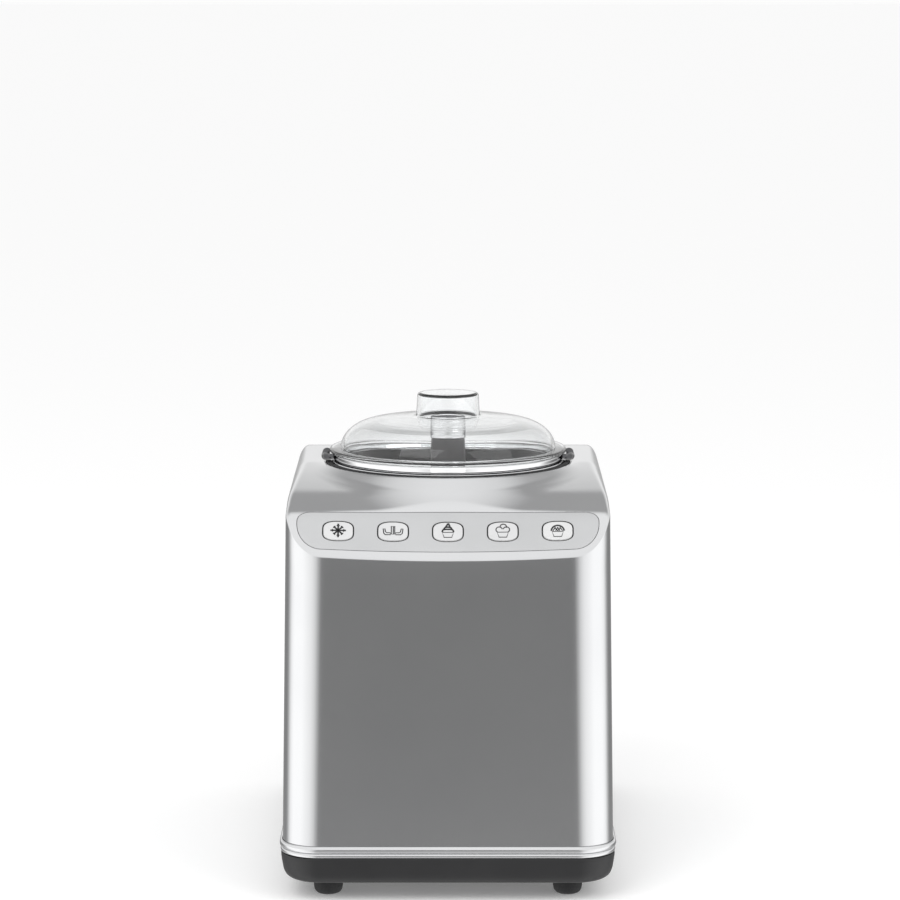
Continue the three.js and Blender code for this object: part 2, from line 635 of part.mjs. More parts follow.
function lidLine(offset) {
  const scale = (r) => (r * LID_R) / DOME_SIZE.r;
  const line = DOME.map(([r, z], i) => {
    const lean = (i / (DOME.length - 1)) * 85 * RAD; // the wall turns from upright to level along the dome
    return [scale(r) - offset * Math.cos(lean), (z * LID_RISE) / DOME_SIZE.rise - offset * Math.sin(lean)];
  });
  const knob = [
    [KNOB.foot + 0.8 - offset, LID_RISE - offset],
    [KNOB.foot - offset, LID_RISE + 1.4 - offset],
    ...arc(KNOB.top - KNOB.edge, KNOB.rise - KNOB.edge, KNOB.edge - offset, 0, 90, 2),
  ];
  return [...line, ...knob];
}

function lid() {
  const half = 1.6;
  const skirt = { r: LEDGE_R - SLACK, foot: LEDGE_Z - FLANGE_Z + 0.6 };
  const outside = [
    [skirt.r - 1.8, skirt.foot], [skirt.r, skirt.foot], [skirt.r, -half],
    [LID_R - 2, -half], ...arc(LID_R - half, 0, half, -90, 90, 2), ...lidLine(0), [0, KNOB.rise],
  ];
  const inside = [[0, KNOB.rise - LID_WALL], ...lidLine(LID_WALL).reverse(), [skirt.r - 1.8, -half - 0.2]];
  return turned([...outside, ...inside, outside[0]].map(([r, z]) => [r, z + FLANGE_Z]), ROUND);
}

// ---------------------------------------------------------------- paddle, bush and cap
// One moulding: a tapered hub and two arms, each a ploughing lower blade and an upright scraper.
const ARM_DRAWN_R = 71.7; // reach of the line below before it is scaled to the paddle's
const ARM = [
  [10, 22], [14.5, 20.5], [27, 15.5], [40, 11.2], [50, 9.2], [54.5, 9], [57, 10.6], [58.2, 14],
  [57.8, 20], [56.6, 28], [55.8, 38], [56.2, 47], [57.4, 55], [59.6, 59], [63.4, 62.4], [67.4, 63.6],
  [68.6, 62.4], [69.2, 52], [69.9, 36], [70.8, 20], [71.7, 9], [71.4, 5], [69.2, 1.6], [66, 0.2],
  [50, 0], [24, 0], [19.5, 1.6], [17.4, 4.6], [16.6, 8.4], [14, 10.4], [10, 10.6],
];

function paddleArm(side) {
  const scale = PADDLE_R / ARM_DRAWN_R;
  const rise = (BOWL_HEIGHT - 5) / 75;
  const points = ARM.map(([x, z]) => [Math.max(x * scale, x > 14.6 ? 0 : x), z * (x > 52 ? rise : 1)]);
  const blade = extruded(points, BLADE_THICK).translate(0, 0, -BLADE_THICK / 2).rotateX(Math.PI / 2);
  const place = blade.attributes.position;
  for (let i = 0; i < place.count; i++) {
    const z = place.getZ(i);
    const lean = Math.tan(BLADE_TILT * RAD) * Math.min(z - 11, 3);
    place.setY(i, place.getY(i) + lean);
  }
  const turn = new THREE.Matrix4().makeRotationZ(side > 0 ? 0 : Math.PI);
  return placed(blade.applyMatrix4(turn), 0, AXIS_Y, PADDLE_FOOT);
}

function hubBore() {
  const foot = PADDLE_FOOT + HUB.foot_z;
  const profile = [
    [0, foot - 20], [BUSH.r + GAP, foot - 20], [BUSH.r + GAP, foot + BUSH.height + 2],
    [HUB_BORE_TOP + 0.3, foot + BUSH.height + 4], [HUB_BORE_TOP, CHIMNEY_TOP + 1.5],
    [SHAFT_R + 0.4, CHIMNEY_TOP + 3.5], [SHAFT_R + 0.4, SHAFT_TOP + 0.6], [0, SHAFT_TOP + 0.6],
  ];
  const [low, high] = [FLATS_FOOT + 0.5, SHAFT_TOP + 2];
  const flats = [-1, 1].map((side) => {
    const y = AXIS_Y + side * (SHAFT_R - FLAT + 0.4 + 2);
    return box(4 * SHAFT_R, 4, high - low, 0, y, (low + high) / 2);
  });
  return cut(turned(profile, 20), ...flats);
}

function paddle() {
  const at = (z) => PADDLE_FOOT + z;
  const hub = turned(
    [
      [0, at(HUB.foot_z)], [HUB.foot, at(HUB.foot_z)], [HUB.top, at(HUB.step_z) - 0.6],
      [HUB.top - 0.6, at(HUB.step_z)], [HUB.step_r, at(HUB.step_z)], [HUB.step_r, at(HUB.top_z) - 2.3],
      [5.6, at(HUB.top_z)], [0, at(HUB.top_z)],
    ],
    24,
  );
  return cut(union(hub, paddleArm(1), paddleArm(-1)), hubBore());
}

function paddleBush() {
  const foot = PADDLE_FOOT + HUB.foot_z + 0.4;
  return ring(BUSH.r, CHIMNEY_R + GAP, foot, foot + BUSH.height, 0, AXIS_Y, 20);
}

function paddleCap() {
  const foot = PADDLE_FOOT + HUB.step_z + GAP;
  const roof = PADDLE_FOOT + HUB.top_z + 0.6;
  const top = roof + CAP.roof;
  const [r, inner] = [CAP.r, CAP.r - CAP.wall];
  const profile = [
    [0, roof], [inner, roof], [inner, foot], [r - 0.4, foot], [r, foot + 0.4], [r, top - 0.8],
    [r - 0.8, top], [r - 1.8, top], [r - 2.4, top - 0.7], [0, top - 0.7],
  ];
  return turned(profile, 24);
}

// ---------------------------------------------------------------- paddle drive
const SHAFT_BEARING = { r: TOWER_R - 2, bore: SHAFT_R + GAP };

function driveShaft() {
  const foot = GEAR_TOP - GEAR_FACE - 4;
  const taper = [[SHAFT_R, SHAFT_TOP - 1.4], [SHAFT_R - 1.4, SHAFT_TOP]];
  const round = turned([[0, foot], [SHAFT_R, foot], ...taper, [0, SHAFT_TOP]], 14);
  const tall = SHAFT_TOP - FLATS_FOOT;
  const flats = [-1, 1].map((side) => {
    const y = AXIS_Y + side * (SHAFT_R - FLAT + 2);
    return box(4 * SHAFT_R, 4, tall + 1, 0, y, FLATS_FOOT - 0.5 + (tall + 1) / 2);
  });
  return cut(round, ...flats);
}

// Toothed collar pressed on the shaft, which stops the paddle's hub dropping onto the post.
function driveDog() {
  const collar = ring(DOG_R, SHAFT_R + GAP, TOWER_TOP + GAP, DOG_TOP, 0, AXIS_Y, 24);
  const tooth = 2.6;
  const slots = [0, 60, 120].map((angle) =>
    solid(new THREE.BoxGeometry(4 * DOG_R, tooth, 5).rotateZ(angle * RAD).translate(0, AXIS_Y, DOG_TOP)),
  );
  return cut(collar, ...slots);
}

// A spur gear with straight-sided teeth, its bore clear of the shaft it sits on.
function gearSolid(teeth, foot, x, y, bore, turn = 0) {
  const pitch = (GEAR_MODULE * teeth) / 2;
  const [tip, root] = [pitch + 0.85 * GEAR_MODULE, pitch - 1.15 * GEAR_MODULE];
  const points = [];
  for (let i = 0; i < teeth; i++) {
    [[-0.31, root], [-0.13, tip], [0.13, tip], [0.31, root]].forEach(([share, r]) => {
      const angle = (2 * Math.PI * (i + share)) / teeth + turn;
      points.push([r * Math.cos(angle), r * Math.sin(angle)]);
    });
  }
  const blank = placed(extruded(points, GEAR_FACE), x, y, foot);
  return bore > 0 ? cut(blank, rod(bore, foot - 1, foot + GEAR_FACE + 1, x, y, 16)) : blank;
}

const LEVEL = { high: GEAR_TOP - GEAR_FACE, low: GEAR_TOP - 2 * GEAR_FACE - 1 };
const IDLER_ANGLE = -45 * RAD;
const MOTOR_ANGLE = -150 * RAD;
const reach = (a, b) => (GEAR_MODULE * (a + b)) / 2 + 0.1;
const IDLER = {
  x: reach(TEETH.output, TEETH.idler_small) * Math.cos(IDLER_ANGLE),
  y: AXIS_Y + reach(TEETH.output, TEETH.idler_small) * Math.sin(IDLER_ANGLE),
};
const MOTOR = {
  x: IDLER.x + reach(TEETH.idler_large, TEETH.pinion) * Math.cos(MOTOR_ANGLE),
  y: IDLER.y + reach(TEETH.idler_large, TEETH.pinion) * Math.sin(MOTOR_ANGLE),
  r: 31,
  height: 52,
};
const halfTooth = (teeth) => Math.PI / teeth;
const outputGear = () => gearSolid(TEETH.output, LEVEL.high, 0, AXIS_Y, SHAFT_R + GAP, IDLER_ANGLE);

function idlerGear() {
  const small = gearSolid(
    TEETH.idler_small, LEVEL.high, IDLER.x, IDLER.y, 0, IDLER_ANGLE + Math.PI + halfTooth(TEETH.idler_small),
  );
  const large = gearSolid(TEETH.idler_large, LEVEL.low, IDLER.x, IDLER.y, 0, MOTOR_ANGLE);
  const collar = rod(6, LEVEL.low + GEAR_FACE - 0.5, LEVEL.high + 0.5, IDLER.x, IDLER.y, 16);
  const bore = rod(PIN_R + GAP, LEVEL.low - 1, GEAR_TOP + 1, IDLER.x, IDLER.y, 16);
  return cut(union(small, large, collar), bore);
}

// Convex line round a set of circles given as [x, y, radius].
function around(circles) {
  const points = circles.flatMap(([x, y, r]) => arc(x, y, r, 0, 345, 23));
  points.sort((a, b) => a[0] - b[0] || a[1] - b[1]);
  const half = (list) => {
    const hull = [];
    for (const p of list) {
      const turns = () => {
        const [a, b] = hull.slice(-2);
        return (b[0] - a[0]) * (p[1] - a[1]) - (b[1] - a[1]) * (p[0] - a[0]);
      };
      while (hull.length > 1 && turns() <= 0) hull.pop();
      hull.push(p);
    }
    return hull.slice(0, -1);
  };
  return [...half(points), ...half([...points].reverse())];
}

const CASE_WALL = 2.2;
const CASE_FLOOR = LEVEL.low - 1.4;
const CASE_TOP = GEAR_TOP + 2;
const GEAR_R = (teeth) => (GEAR_MODULE * teeth) / 2 + GEAR_MODULE;
const caseCircles = (grow) => [
  [0, AXIS_Y, GEAR_R(TEETH.output) + grow],
  [IDLER.x, IDLER.y, GEAR_R(TEETH.idler_large) + grow],
  [MOTOR.x, MOTOR.y, GEAR_R(TEETH.pinion) + 6 + grow],
];

function gearCase() {
  const depth = CASE_TOP - CASE_FLOOR;
  const tub = placed(extruded(around(caseCircles(2 + CASE_WALL)), depth + 3), 0, 0, CASE_FLOOR - 3);
  const inside = placed(extruded(around(caseCircles(2)), depth + 1), 0, 0, CASE_FLOOR);
  const holes = rod(MOTOR_SHAFT_R + 1, CASE_FLOOR - 4, CASE_FLOOR + 1, MOTOR.x, MOTOR.y, 16);
  const pin = rod(PIN_R, CASE_FLOOR - 1, GEAR_TOP + 1.2, IDLER.x, IDLER.y, 12);
  return union(cut(tub, inside, holes), pin);
}

function gearCover() {
  const lowest = CASE_TOP + GAP;
  const plate = placed(extruded(around(caseCircles(2 + CASE_WALL)), 2.4), 0, 0, lowest);
  const boss = rod(12, lowest, lowest + 6, 0, AXIS_Y, 20);
  return cut(union(plate, boss), rod(SHAFT_R + 2.4, lowest - 1, lowest + 8, 0, AXIS_Y, 14));
}

const lowerBearing = () =>
  ring(SHAFT_R + 2, SHAFT_R + GAP, CASE_TOP + GAP, CASE_TOP + GAP + 6, 0, AXIS_Y, 14);
const onShaft = (foot, top) => ring(SHAFT_BEARING.r - GAP, SHAFT_BEARING.bore, foot, top, 0, AXIS_Y, 14);
const upperBearing = () => onShaft(TOWER_TOP - 24, TOWER_TOP - 10);
const shaftSeal = () => onShaft(TOWER_TOP - 9, TOWER_TOP - 3);

const MOTOR_TOP = CASE_FLOOR - 3 - GAP;
const MOTOR_FOOT = MOTOR_TOP - MOTOR.height;
const MOTOR_WALL = 1.6;

// Can of the motor, closed below and seated on the gear case above.
function motorHousing() {
  const { x, y, r } = MOTOR;
  const shell = cut(
    rod(r, MOTOR_FOOT, MOTOR_TOP, x, y, 20),
    rod(r - MOTOR_WALL, MOTOR_FOOT + 2, MOTOR_TOP + 1, x, y, 20),
    rod(MOTOR_SHAFT_R + GAP, MOTOR_FOOT - 1, MOTOR_FOOT + 3, x, y, 10),
  );
  const vents = [0, 60, 120].map((angle) =>
    solid(new THREE.BoxGeometry(3 * r, 7, 12).rotateZ(angle * RAD).translate(x, y, MOTOR_FOOT + 14)),
  );
  return cut(shell, ...vents);
}

function motorStator() {
  const { x, y, r } = MOTOR;
  return ring(r - MOTOR_WALL - GAP, 17, MOTOR_FOOT + 22, MOTOR_TOP - 9, x, y, 20);
}

function motorRotor() {
  const { x, y } = MOTOR;
  const core = rod(15.8, MOTOR_FOOT + 23, MOTOR_TOP - 10, x, y, 16);
  return union(core, rod(MOTOR_SHAFT_R, MOTOR_FOOT - 2, GEAR_TOP - GEAR_FACE - 1.5, x, y, 10));
}

function pinion() {
  const turn = MOTOR_ANGLE + Math.PI + halfTooth(TEETH.pinion);
  return gearSolid(TEETH.pinion, LEVEL.low, MOTOR.x, MOTOR.y, MOTOR_SHAFT_R + GAP, turn);
}

// Bridge that carries the gear case from the base.
function driveFrame() {
  const top = CASE_FLOOR - 3 - GAP;
  const [x0, x1] = [-62, 78];
  const plate = box(x1 - x0, 118, 3, (x0 + x1) / 2, -62, top - 1.5);
  const legs = [x0 + 1.5, x1 - 1.5].map((x) =>
    box(3, 118, top - BASE_INSIDE - GAP, x, -62, (top + BASE_INSIDE + GAP) / 2),
  );
  const windows = box(300, 74, 78, 0, -62, BASE_INSIDE + 60);
  return cut(union(plate, ...legs), windows, rod(MOTOR.r + 1, top - 5, top + 5, MOTOR.x, MOTOR.y, 28));
}

// ---------------------------------------------------------------- cooling circuit
function insulationJacket() {
  const { outer, inner } = JACKET;
  const [foot, floor, top] = [WELL_FLOOR - INSULATION - 2, WELL_FLOOR - WELL_WALL - GAP, DECK_Z - 27];
  const jacket = turned(
    [
      [TOWER_R + 10, foot], [outer - 6, foot], [outer, foot + 6], [outer, top], [inner, top], [inner, floor],
      [TOWER_R + 10, floor],
    ],
    ROUND,
  );
  const port = rod(COIL_TUBE_R + 6, 0, 40, 0, 0, 10).rotate([90, 0, 0]);
  return cut(
    jacket,
    port.translate([0, 0, COIL_FOOT]).rotate([0, 0, 180]).translate([COIL_PORT.x - 4, AXIS_Y + inner - 4, 0]),
    port.translate([0, 0, COIL_TOP]).rotate([0, 0, 180]).translate([4 - COIL_PORT.x, AXIS_Y + inner - 4, 0]),
  );
}

// Copper coil wound round the outside of the well, with a tail out through the jacket at each end.
function evaporatorCoil() {
  const r = COIL_R;
  const count = COIL_TURNS * 20;
  const turns = Array.from({ length: count + 1 }, (_, i) => {
    const angle = 90 * RAD + (2 * Math.PI * i) / 20;
    const z = COIL_FOOT + ((COIL_TOP - COIL_FOOT) * i) / count;
    return [r * Math.cos(angle), AXIS_Y + r * Math.sin(angle), z];
  });
  const tail = (side, z) => [
    [side * COIL_PORT.x, AXIS_Y + COIL_PORT.y - GAP, z],
    [side * COIL_PORT.x, AXIS_Y + r + 9, z],
    [side * COIL_PORT.x * 0.7, AXIS_Y + r + 0.4, z],
  ];
  const path = [...tail(1, COIL_FOOT), ...turns, ...tail(-1, COIL_TOP).reverse()];
  return pipe(path, COIL_TUBE_R, COIL_TURNS * COIL_SIDES + 8, 5);
}

function compressor() {
  const [r, foot, top] = [COMPRESSOR_R, COMPRESSOR_FOOT, COMPRESSOR_FOOT + COMPRESSOR_HEIGHT];
  const seam = foot + 0.52 * COMPRESSOR_HEIGHT;
  const can = turned(
    [
      [0, foot], ...arc(r - 12, foot + 12, 10.5, -90, 0, 3, 12),
      [r - 1.5, seam - 2], [r, seam - 2], [r, seam + 2], [r - 1.5, seam + 2],
      ...arc(r - 31.5, top - 26, 30, 0, 90, 4, 26), [0, top],
    ],
    24, COMPRESSOR_X, COMPRESSOR_Y,
  );
  const stubs = [PORTS.discharge, PORTS.suction].map(([x, y, z]) => rod(PIPE_R + 1.2, z - 26, z, x, y, 8));
  return union(can, ...stubs);
}

function compressorPlate() {
  const at = COMPRESSOR_FOOT - GAP - 2;
  const plate = placed(extruded(around(grommetsAt(9)), 2), COMPRESSOR_X, COMPRESSOR_Y, at);
  const hole = ([x, y, r]) => rod(r, at - 1, at + 3, COMPRESSOR_X + x, COMPRESSOR_Y + y, 12);
  return cut(plate, ...grommetsAt(4.4).map(hole));
}

function grommet([x, y]) {
  const [low, plate] = [BASE_INSIDE + GAP, COMPRESSOR_FOOT - GAP - 2];
  const waist = 4.4 - GAP;
  const profile = [
    [0, low], [7.5, low], [7.5, plate - GAP], [waist, plate - GAP], [waist, plate + 2 + GAP],
    [6, plate + 2 + GAP], [5, plate + 4.5], [0, plate + 4.5],
  ];
  return turned(profile, 12, COMPRESSOR_X + x, COMPRESSOR_Y + y);
}

function relayCover() {
  const z = COMPRESSOR_FOOT + 34;
  const body = box(24, 34, 40, COMPRESSOR_X - COMPRESSOR_R - 2, COMPRESSOR_Y, z);
  return cut(body, rod(COMPRESSOR_R + GAP, 0, 300, COMPRESSOR_X, COMPRESSOR_Y, 32));
}

function condenser() {
  const { thick, width, height, fins } = CONDENSER;
  const finY = (i) => CONDENSER_Y - width / 2 + 4 + ((width - 8) * i) / (fins - 1);
  const fin = (_, i) => box(thick, 0.9, height, CONDENSER_X, finY(i), CONDENSER_Z);
  const plates = Array.from({ length: fins }, fin);
  const rows = [1.5, 0.5, -0.5, -1.5].map((row) => CONDENSER_Z + (row * height) / 4);
  const [near, far] = [CONDENSER_Y - width / 2 - 2, CONDENSER_Y + width / 2 + 2];
  const serpentine = rows.flatMap((z, i) => {
    const along = i % 2 ? [far, CONDENSER_Y, near] : [near, CONDENSER_Y, far];
    return along.map((y) => [CONDENSER_X, y, z]);
  });
  return union(...plates, pipe(serpentine, PIPE_R, 32, 5));
}

const SPINDLE_R = 2;
const FAN = { x: CONDENSER_X - CONDENSER.thick / 2 - 14, y: CONDENSER_Y, z: CONDENSER_Z };
const aboutX = (geometry) => placed(geometry.rotateZ(-Math.PI / 2), FAN.x, FAN.y, FAN.z);
const barrel = (r, long, shift, sides) =>
  aboutX(new THREE.CylinderGeometry(r, r, long, sides).translate(0, shift, 0));

function fanShroud() {
  const deep = 18;
  const frame = box(deep, 2 * FAN_R + 8, 2 * FAN_R + 8, FAN.x, FAN.y, FAN.z);
  const spokes = [0, 60, 120].map((turn) => {
    const spoke = new THREE.BoxGeometry(2.4, 2 * FAN_R + 4, 3).rotateX(turn * RAD);
    return solid(spoke.translate(FAN.x - deep / 2 + 1.2, FAN.y, FAN.z));
  });
  const hub = barrel(17, 2.4, -deep / 2 + 1.2, 16);
  return cut(union(cut(frame, barrel(FAN_R, 40, 0, 28)), ...spokes, hub), barrel(SPINDLE_R + GAP, 40, 0, 12));
}

function fanBlades() {
  const hub = cut(barrel(15, 9, 1.5, 16), barrel(12.6, 6.4, -1.2, 16));
  const blades = [0, 1, 2, 3, 4].map((i) => {
    const blade = new THREE.BoxGeometry(1.5, 30, 19).rotateY(38 * RAD).translate(0, 29, 0);
    return solid(blade.rotateX((i * 72) * RAD).translate(FAN.x + 1.4, FAN.y, FAN.z));
  });
  return union(hub, ...blades);
}

function fanMotor() {
  const body = barrel(16, 20, -9 - GAP - 10, 16);
  return union(body, barrel(SPINDLE_R, 11.7, -4.15, 10));
}

function filterDrier() {
  const [x, y, z] = PORTS.drier;
  const [ex, ey, ez] = PORTS.condenser_out;
  const bend = [[x, y, z - 35], [x, y, z - 42], [x + 8, y + 2, z - 47], [ex, ey - 10, ez], [ex, ey - GAP, ez]];
  const inlet = pipe(bend, PIPE_R, 10, 6);
  const profile = [
    [0, z - 36], [3.4, z - 36], [3.4, z - 32], [9.5, z - 26], [9.5, z - 8], [3.4, z - 2], [3.4, z], [0, z],
  ];
  const can = turned(profile, 12, x, y);
  return union(can, inlet);
}

function dischargePipe() {
  const [x, y, z] = PORTS.discharge;
  const [ex, ey, ez] = PORTS.condenser_in;
  const path = [
    [x, y, z + GAP], [x, y, z + 18], [x + 22, y + 2, z + 27], [ex - 2, ey - 16, z + 22],
    [ex, ey - 12, ez + 20], [ex, ey - 9, ez], [ex, ey - GAP, ez],
  ];
  return pipe(path, PIPE_R, 22, 6);
}

function suctionPipe() {
  const [x, y, z] = PORTS.suction;
  const [sx, sy, sz] = [-COIL_PORT.x, AXIS_Y + COIL_PORT.y, COIL_TOP];
  const path = [[sx, sy, sz], [sx, sy + 16, sz], [x - 2, y - 6, z + 26], [x, y, z + 14], [x, y, z + GAP]];
  return pipe(path, PIPE_R, 16, 6);
}

function capillary() {
  const [x, y, z] = PORTS.drier;
  const loops = Array.from({ length: 19 }, (_, i) => {
    const angle = (i * 30) * RAD;
    return [x - 11 + 11 * Math.cos(angle), y + 11 * Math.sin(angle), z + 8 + i * 0.9];
  });
  const end = [COIL_PORT.x, AXIS_Y + COIL_PORT.y, COIL_FOOT];
  return pipe([
    [x, y, z + GAP], [x, y, z + 5], ...loops, [x - 13, y + 10, z + 54], [x - 43, y + 30, z + 79],
    [end[0] + 8, end[1] + 28, end[2] - 30], [end[0] + 2, end[1] + 30, end[2] - 10],
    [end[0], end[1] + 6, end[2]], end,
  ], CAPILLARY_R, 56, 5);
}

function controlBoard() {
  const [y, z] = [-HALF_D + DRAFT + WALL + 12, 138];
  const board = box(150, 1.6, 84, 0, y, z);
  const parts = [
    [-48, 26, 20, 12, 10], [-14, 18, 26, 14, 12], [22, 22, 16, 12, -14],
    [52, 14, 30, 16, 16], [-44, 30, 12, 9, -22],
  ].map(([x, wide, tall, deep, up]) => box(wide, deep, tall, x, y + deep / 2 + 0.4, z + up));
  return union(board, ...parts);
}

function screw(sx, up) {
  const head = turned([[0, 0], [2.8, 0], [2.4, 1.4], [0, 1.8]], 14, 0, 0).rotate([-90, 0, 0]);
  const slot = box(0.7, 2, 6, 0, 2.2, 0);
  return cut(head, slot).translate([sx * (BACK.width / 2 - 7), COVER_Y + BACK.thick / 2 + GAP, up]);
}

// ---------------------------------------------------------------- assembly
const finish = (color, roughness, metalness, extra = {}) =>
  new THREE.MeshStandardMaterial({ color, roughness, metalness, ...extra });
const FINISHES = {
  satin_steel: finish(0xb8b9bb, 0.35, 1),
  bright_steel: finish(0xe2e3e5, 0.12, 1),
  dark_plastic: finish(0x4d4c4d, 0.5, 0),
  black_plastic: finish(0x1b1b1c, 0.45, 0),
  light_plastic: finish(0xcfd0d2, 0.4, 0),
  clear_plastic: finish(0xf2f5f6, 0.08, 0, { transparent: true, opacity: 0.35 }),
  rubber: finish(0x141414, 0.8, 0),
  copper: finish(0xb87333, 0.35, 1),
  brass: finish(0xb59a57, 0.35, 1),
  foam: finish(0xdcd8cb, 0.95, 0),
  nylon: finish(0xe6e3da, 0.5, 0),
  black_enamel: finish(0x202123, 0.4, 0.4),
  board: finish(0x2a5a3a, 0.6, 0),
};

const group = new THREE.Group();
function add(name, made, look) {
  const mesh = new THREE.Mesh(geometryOf(made), FINISHES[look]);
  mesh.name = name;
  group.add(mesh);
}

add("outer_shell", outerShell(), "satin_steel");
add("trim_band", trimBand(), "bright_steel");
add("base_tray", baseTray(), "dark_plastic");
for (const [end, sy] of [["front", -1], ["rear", 1]]) {
  for (const [side, sx] of [["left", -1], ["right", 1]]) add(`foot_${end}_${side}`, foot(sx, sy), "rubber");
}
add("rear_cover", backPanel(), "black_plastic");
add("cord_gland", cordGland(), "rubber");
for (const [side, sx] of [["left", -1], ["right", 1]]) {
  add(`cover_screw_${side}`, screw(sx, BACK.low + 8), "bright_steel");
}
add("control_fascia", controlFascia(), "light_plastic");
BUTTON_NAMES.forEach((name, i) => add(`button_${name}`, button(i), "light_plastic"));
add("button_board", buttonBoard(), "board");
add("control_board", controlBoard(), "board");

add("well_gasket", wellGasket(), "rubber");
add("cooling_well", coolingWell(), "bright_steel");
add("evaporator_coil", evaporatorCoil(), "copper");
add("insulation_jacket", insulationJacket(), "foam");
add("drive_post", driveTower(), "black_plastic");
add("upper_bearing", upperBearing(), "brass");
add("shaft_seal", shaftSeal(), "rubber");
add("lower_bearing", lowerBearing(), "brass");
add("gear_case", gearCase(), "dark_plastic");
add("gear_cover", gearCover(), "dark_plastic");
add("drive_frame", driveFrame(), "satin_steel");
add("motor_housing", motorHousing(), "satin_steel");
add("motor_stator", motorStator(), "copper");

add("drive_shaft", driveShaft(), "bright_steel");
add("drive_dog", driveDog(), "black_plastic");
add("output_gear", outputGear(), "nylon");
add("idler_gear", idlerGear(), "nylon");
add("motor_rotor", motorRotor(), "satin_steel");
add("motor_pinion", pinion(), "brass");

add("compressor", compressor(), "black_enamel");
add("compressor_plate", compressorPlate(), "satin_steel");
grommetsAt(0).forEach((at, i) => add(`grommet_${i + 1}`, grommet(at), "rubber"));
add("relay_cover", relayCover(), "black_plastic");
add("condenser", condenser(), "black_enamel");
add("fan_shroud", fanShroud(), "black_plastic");
add("fan_motor", fanMotor(), "satin_steel");
add("fan_blades", fanBlades(), "dark_plastic");
add("filter_drier", filterDrier(), "copper");
add("discharge_pipe", dischargePipe(), "copper");
add("suction_pipe", suctionPipe(), "copper");
add("capillary", capillary(), "copper");

add("bowl", removableBowl(), "bright_steel");
add("bowl_chimney", bowlChimney(), "dark_plastic");
add("bowl_lug_left", bowlHandle(-1), "bright_steel");
add("bowl_lug_right", bowlHandle(1), "bright_steel");
add("paddle_bush", paddleBush(), "nylon");
add("paddle", paddle(), "dark_plastic");
add("paddle_cap", paddleCap(), "bright_steel");
add("lid", lid(), "clear_plastic");

export default group;
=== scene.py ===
import json
from math import atan, copysign, cos, dist, hypot, pi, radians, sin, sqrt, tan

import bmesh
import bpy
from mathutils import Matrix, Vector


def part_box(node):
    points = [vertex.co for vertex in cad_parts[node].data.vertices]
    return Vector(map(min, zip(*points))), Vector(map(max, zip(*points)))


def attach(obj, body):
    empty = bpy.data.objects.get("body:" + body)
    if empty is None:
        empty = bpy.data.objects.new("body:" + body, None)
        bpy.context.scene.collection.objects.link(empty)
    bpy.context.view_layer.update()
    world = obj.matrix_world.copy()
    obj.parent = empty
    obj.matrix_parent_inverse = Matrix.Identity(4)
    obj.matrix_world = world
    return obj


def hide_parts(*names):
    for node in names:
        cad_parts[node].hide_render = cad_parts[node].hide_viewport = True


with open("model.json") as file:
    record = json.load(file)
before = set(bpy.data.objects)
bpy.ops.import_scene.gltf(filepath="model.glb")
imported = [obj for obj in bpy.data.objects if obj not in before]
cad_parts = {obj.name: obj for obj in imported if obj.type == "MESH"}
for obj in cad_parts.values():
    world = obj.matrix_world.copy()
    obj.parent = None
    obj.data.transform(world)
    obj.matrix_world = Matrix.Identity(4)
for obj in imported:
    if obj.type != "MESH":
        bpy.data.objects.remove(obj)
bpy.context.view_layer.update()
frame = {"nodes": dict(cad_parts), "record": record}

# Lengths below are millimetres in the model's frame, and become metres where a mesh is made.
MM = 0.001


def corners(node):
    """Lowest and highest corner of a CAD node, in millimetres."""
    low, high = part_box(node)
    return low / MM, high / MM


def middle(node):
    low, high = corners(node)
    return (low + high) / 2


def turned(degrees, axis):
    return Matrix.Rotation(radians(degrees), 4, axis)


def placed(name, data):
    """New object in the scene."""
    obj = bpy.data.objects.new(name, data)
    bpy.context.scene.collection.objects.link(obj)
    return obj


# ---- sizes read from the frame
SHELL_HIGH = corners("outer_shell")[1]
HALF_W, HALF_D, DECK_Z = SHELL_HIGH.x, SHELL_HIGH.y, SHELL_HIGH.z
BASE_BOTTOM, BASE_TOP = corners("base_tray")[0].z, corners("base_tray")[1].z
TRIM_HIGH = corners("trim_band")[1]
WELL_LOW, WELL_HIGH = corners("cooling_well")
AXIS_Y = (WELL_LOW.y + WELL_HIGH.y) / 2
GASKET_R = corners("well_gasket")[1].y - AXIS_Y
BOWL_FOOT, RIM_TOP = corners("bowl")[0].z, corners("bowl")[1].z
RIM_R = corners("bowl")[1].y - AXIS_Y
PADDLE_FOOT, PADDLE_TOP = corners("paddle")[0].z, corners("paddle")[1].z
PADDLE_R = corners("paddle")[1].x
SHAFT_TOP = corners("drive_shaft")[1].z
DOG_TOP = corners("drive_dog")[1].z
TOWER_TOP = corners("drive_post")[1].z
LID_FOOT, LID_TOP = corners("lid")[0].z, corners("lid")[1].z

# ---- sizes of the visible pieces
GAP = 0.3
CUT = 20  # reach of a cutter each way, well past the sheet
CORNER_R = 25  # plan corners of the body
DRAFT = 3.3  # lean of the walls up to the deck
SKIN = 1.4  # steel sheet as it shows at its edges
HOLE_R = GASKET_R + GAP

FASCIA_ANGLE = radians(50)
FASCIA_FOOT_Z = 238.2  # where the slope leaves the front wall, in the middle
FASCIA_BOW = 4.4  # and this much higher at the sides
BROW_ANGLE = radians(19)
BROW_RISE = 26.3
COLLAR_PROUD = 1.2
COLLAR_SLOPE = 0.62
SHOULDER = (11, 16)  # run and drop of the rounded side and back edges
FRONT_EDGE = (5, 4)
NOSE = (0.05, 0.0005)  # fall of the deck ahead of the well: slope and curve
TAIL_START, TAIL = 52, (0.1, 0.0012)

